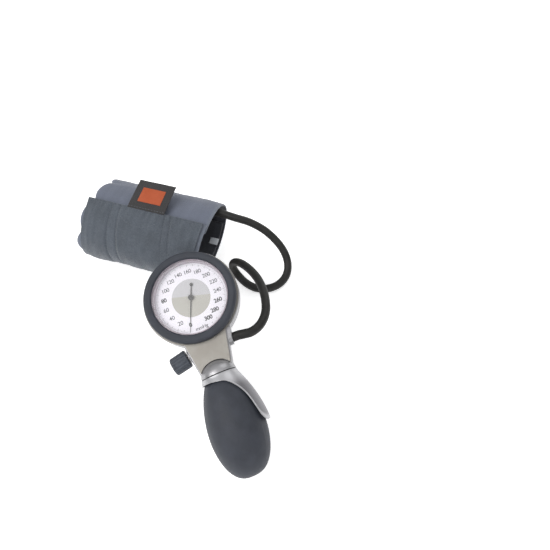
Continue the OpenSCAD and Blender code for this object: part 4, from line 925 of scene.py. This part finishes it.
pocket_places = [pocket_left + d for d in (0, 0.15, 0.5, 1.2, 2.2)]
pocket_places += list(np.linspace(pocket_left + 3, pocket_right - 3, 210))
pocket_places += [pocket_right - d for d in (2.2, 1.2, 0.5, 0.15, 0)]
pocket_angles = [pocket_top + d / turn_mm for d in (0, 0.12, 0.4, 0.9, 1.5)]
pocket_angles += list(np.linspace(pocket_top + 3.4, pocket_low - 1.5, 100)) + [pocket_low - 0.5, pocket_low]
pocket_points, pocket_cut = [], []
for angle in pocket_angles:
    from_end = min(angle - pocket_top, pocket_low - angle) * turn_mm
    for face, x in there_and_back(pocket_places):
        full = rounded(min(from_end, x - pocket_left, pocket_right - x) / 0.6)
        rise = panel_out + pocket_lift(x, angle) - panel_bed if face == 0 else 0.06 - panel_bed
        depth = panel_bed + rise * full
        pocket_points.append(roll_point(drawn_in(x, angle), angle, -depth))
        pocket_cut.append((x / 1000, turn_length(angle) / 1000))
pocket = make_piece(
    "pocket_panel", pocket_points, ring_faces(len(pocket_angles), 2 * len(pocket_places)),
    pocket_cloth, pocket_cut, weld=0.01)
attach(pocket, "gauge_and_cuff")
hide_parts("cuff_pocket")

# The seams are lockstitch in grey thread: short beads of thread along lines that lie on the cloth. They
# hem the panel, edge its bands and the cuff, and hold the label down.
thread = Finish("grey_sewing_thread", Roughness=0.7, Sheen_Weight=0.3)
thread.show(thread.blend(thread.cloud(0.5, 2), (80, 87, 95), (98, 105, 113)))
sewing = Growth(
    "stitches", Geometry=("Geometry",), Pitch=("Float", 0.0026), Stitch_length=("Float", 0.0021),
    Thickness=("Float", 0.00034), Thread=("Material", thread.material))
wish = sewing.given
needle_holes = sewing.node("GeometryNodeCurveToPoints", {
    "Curve": sewing.node("GeometryNodeMeshToCurve", {"Mesh": wish}), "Length": wish["Pitch"]},
    mode="LENGTH")
bead = sewing.node("GeometryNodeMeshUVSphere", {"Segments": 6, "Rings": 5, "Radius": 0.5})
sewing.grow(needle_holes, bead, wish["Thread"], Rotation=needle_holes["Rotation"],
            Scale=sewing.node("ShaderNodeCombineXYZ", [
                wish["Thickness"], wish["Thickness"], wish["Stitch length"]]))


def stitched(name, lines, finish, **sizes):
    """A piece with stitches along lines of points in millimetres."""
    points = [tuple(MM * c for c in p) for line in lines for p in line]
    starts = np.cumsum([0] + [len(line) for line in lines])
    base = bpy.data.meshes.new(name)
    base.from_pydata(points, [(i, i + 1) for a, b in zip(starts, starts[1:]) for i in range(a, b - 1)], [])
    made = gathered(name, [grown(name, sewing.tree, base, **sizes)], finish, Matrix())
    made.data.shade_smooth()
    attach(made, "gauge_and_cuff")
    return made


proud = 0.06
down_the_panel = [pocket_top + d / turn_mm for d in np.arange(1.2, 84, 1.2)]
across_the_panel = np.arange(pocket_left + 1.2, pocket_right - 1, 1.2)
seam_lines = [[pocket_point(x, angle, proud) for angle in down_the_panel]
              for x in (pocket_left + 1.6, pocket_right - 1.6)]
for at, slant, half_band, widens in bands:
    for side in (-1, 1):
        line = [(at + slant * s + side * (half_band + widens * s), angle)
                for angle in down_the_panel for s in [turn_length(angle)]]
        seam_lines.append([pocket_point(x, angle, proud) for x, angle in line if x < pocket_right - 3])
seam_lines.append([pocket_point(x, pocket_top + 2.1 / turn_mm, proud) for x in across_the_panel])
seam_lines.append([pocket_point(x, pocket_top + (15 - 6 * ((x + 3) / 18) ** 2) / turn_mm, 0.02)
                   for x in np.arange(-19, 13.1, 1)])
pocket_seams = stitched("pocket_seams", seam_lines, thread)
edge_seams = stitched("edge_seams", [
    [roll_point(cuff_l / 2 - 1.7, angle, 0.12) for angle in np.arange(98, pocket_low, 2)]], thread)
turn_length(roll_to) * MM
turn_length(pocket_low) * MM

# The label is a folded charcoal ribbon, sewn down along its front edge. It leans back on the roll and
# carries a plain woven field.
label_top = roll_point(0, hem_angle, -0.9)
label_pose = Matrix.Translation((0.2, label_top.y - 1.6, label_top.z + 0.3)) @ turned(9, "X")
label_w, label_l, label_t, patch_w, patch_l = 35.5, 30, 1.2, 22, 15


def label_point(x, y, z):
    """A point of the ribbon, which is a little wavy and lifts at its free corners."""
    wave = 0.25 * sin(x / 7 + 0.6) * (y / label_l) + 0.35 * (abs(x) / 19) ** 3 * (y / label_l) ** 2
    return label_pose @ Vector((x, y, z + wave))


def ribbon(name, width, length, rise, thick, corner, finish):
    """A flat woven piece on the label's place, with rounded edges and corners."""
    points, cut, steps_x, steps_y = [], [], 40, 30
    for j in range(steps_y + 1):
        y = length * (0.5 - 0.5 * cos(pi * j / steps_y))
        for face, i in there_and_back(range(steps_x + 1)):
            x = -width / 2 * cos(pi * i / steps_x)
            full = thick / 2 * rounded(min(y, length - y, width / 2 - abs(x)) / corner)
            z = rise + thick / 2 + (full if face == 0 else -full)
            points.append(label_point(x, (label_l - length) / 2 + y, z))
            cut.append((x / 1000, y / 1000))
    made = make_piece(name, points, ring_faces(steps_y + 1, 2 * (steps_x + 1)), finish, cut)
    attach(made, "gauge_and_cuff")
    return made


charcoal_ribbon = woven("charcoal_ribbon", (38, 36, 37), (54, 52, 53), 0.6, 0.12, Sheen_Weight=0.2)
label = ribbon("label_ribbon", label_w, label_l, 0, label_t, 0.6, charcoal_ribbon)
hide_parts("label_tab")
orange = woven("terracotta_weave", (180, 86, 50), (166, 76, 42), 0.5, 0.1)
patch = ribbon("label_field", patch_w, patch_l, label_t - 0.03, 0.33, 0.25, orange)
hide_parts("label_patch")
label_sewn = stitched("label_seam", [
    [label_point(x, 1.6, label_t + 0.05) for x in np.arange(-16.5, 16.6, 1)]],
    thread, **{"Stitch length": 0.0018})

# The size tag is a loop of pale ribbon that is caught in the lining's seam at the open end.
tag_cloth = woven("pale_tag_ribbon", (196, 200, 206), (214, 218, 224), 0.4)
tag_left, tag_w, tag_l, tag_angle, tag_deep, tag_half_t, steps = 47.5, 9, 8, 650, 3.8, 0.3, 8
tag_points, tag_cut = [], []
for j in range(steps + 1):
    for face, i in there_and_back(range(steps + 1)):
        x, s = tag_left + tag_w * i / steps, tag_l * j / steps - tag_l / 2
        rim = min(1, i, steps - i, j, steps - j) * (tag_half_t if face == 0 else -tag_half_t)
        bow = 0.3 * sin(pi * i / steps)
        tag_points.append(roll_point(x, tag_angle + s / 0.7, tag_deep + bow + rim))
        tag_cut.append((x / 1000, s / 1000))
tag = make_piece("size_ribbon", tag_points, ring_faces(steps + 1, 2 * (steps + 1)), tag_cloth, tag_cut)
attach(tag, "gauge_and_cuff")
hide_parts("size_tag")


# The table and the light: a bright white sheet in a light tent, with a broad lamp above on the left.
table_top = Finish("white_table", Roughness=0.9, Emission_Strength=0.55)
table_top.show(table_top.blend(table_top.cloud(40, 2), (250, 250, 250), (254, 254, 254)))
table_top.shader.inputs["Emission Color"].default_value = (1, 1, 1, 1)
reach, sunk = 4000, -0.2
table = make_piece("table", [
    (-reach, -reach, sunk), (reach, -reach, sunk), (reach, reach, sunk), (-reach, reach, sunk)],
    [(0, 1, 2, 3)], table_top)
world = bpy.data.worlds.new("tent")
world.use_nodes = True
tent = Plan(world.node_tree)
sky = tent.node("ShaderNodeSeparateXYZ", {
    "Vector": tent.node("ShaderNodeTexCoord", out="Generated")}, "Z")
tent_cloth = world.node_tree.nodes["Background"]
tent_cloth.inputs["Color"].default_value = (1, 1, 1, 1)
world.node_tree.links.new((sky * 0.62 + 0.16).socket, tent_cloth.inputs["Strength"])
bpy.context.scene.world = world
lit_spot, lamp_size = Vector((0.05, -0.05, 0.03)), 0.9
for name, spot, power, colour in (
        ("key", (-0.5, -0.6, 1.1), 11, (1, 0.99, 0.98)),
        ("fill", (0.9, -0.9, 0.6), 3, (0.96, 0.98, 1)),
        ("back", (0.2, 1.1, 0.8), 4, (1, 1, 1))):
    lamp = bpy.data.lights.new(name, "AREA")
    lamp.size, lamp.energy, lamp.color = lamp_size, power, colour
    aimed(name, lamp, spot, lit_spot - Vector(spot))
bpy.context.scene.view_settings.view_transform = "Standard"
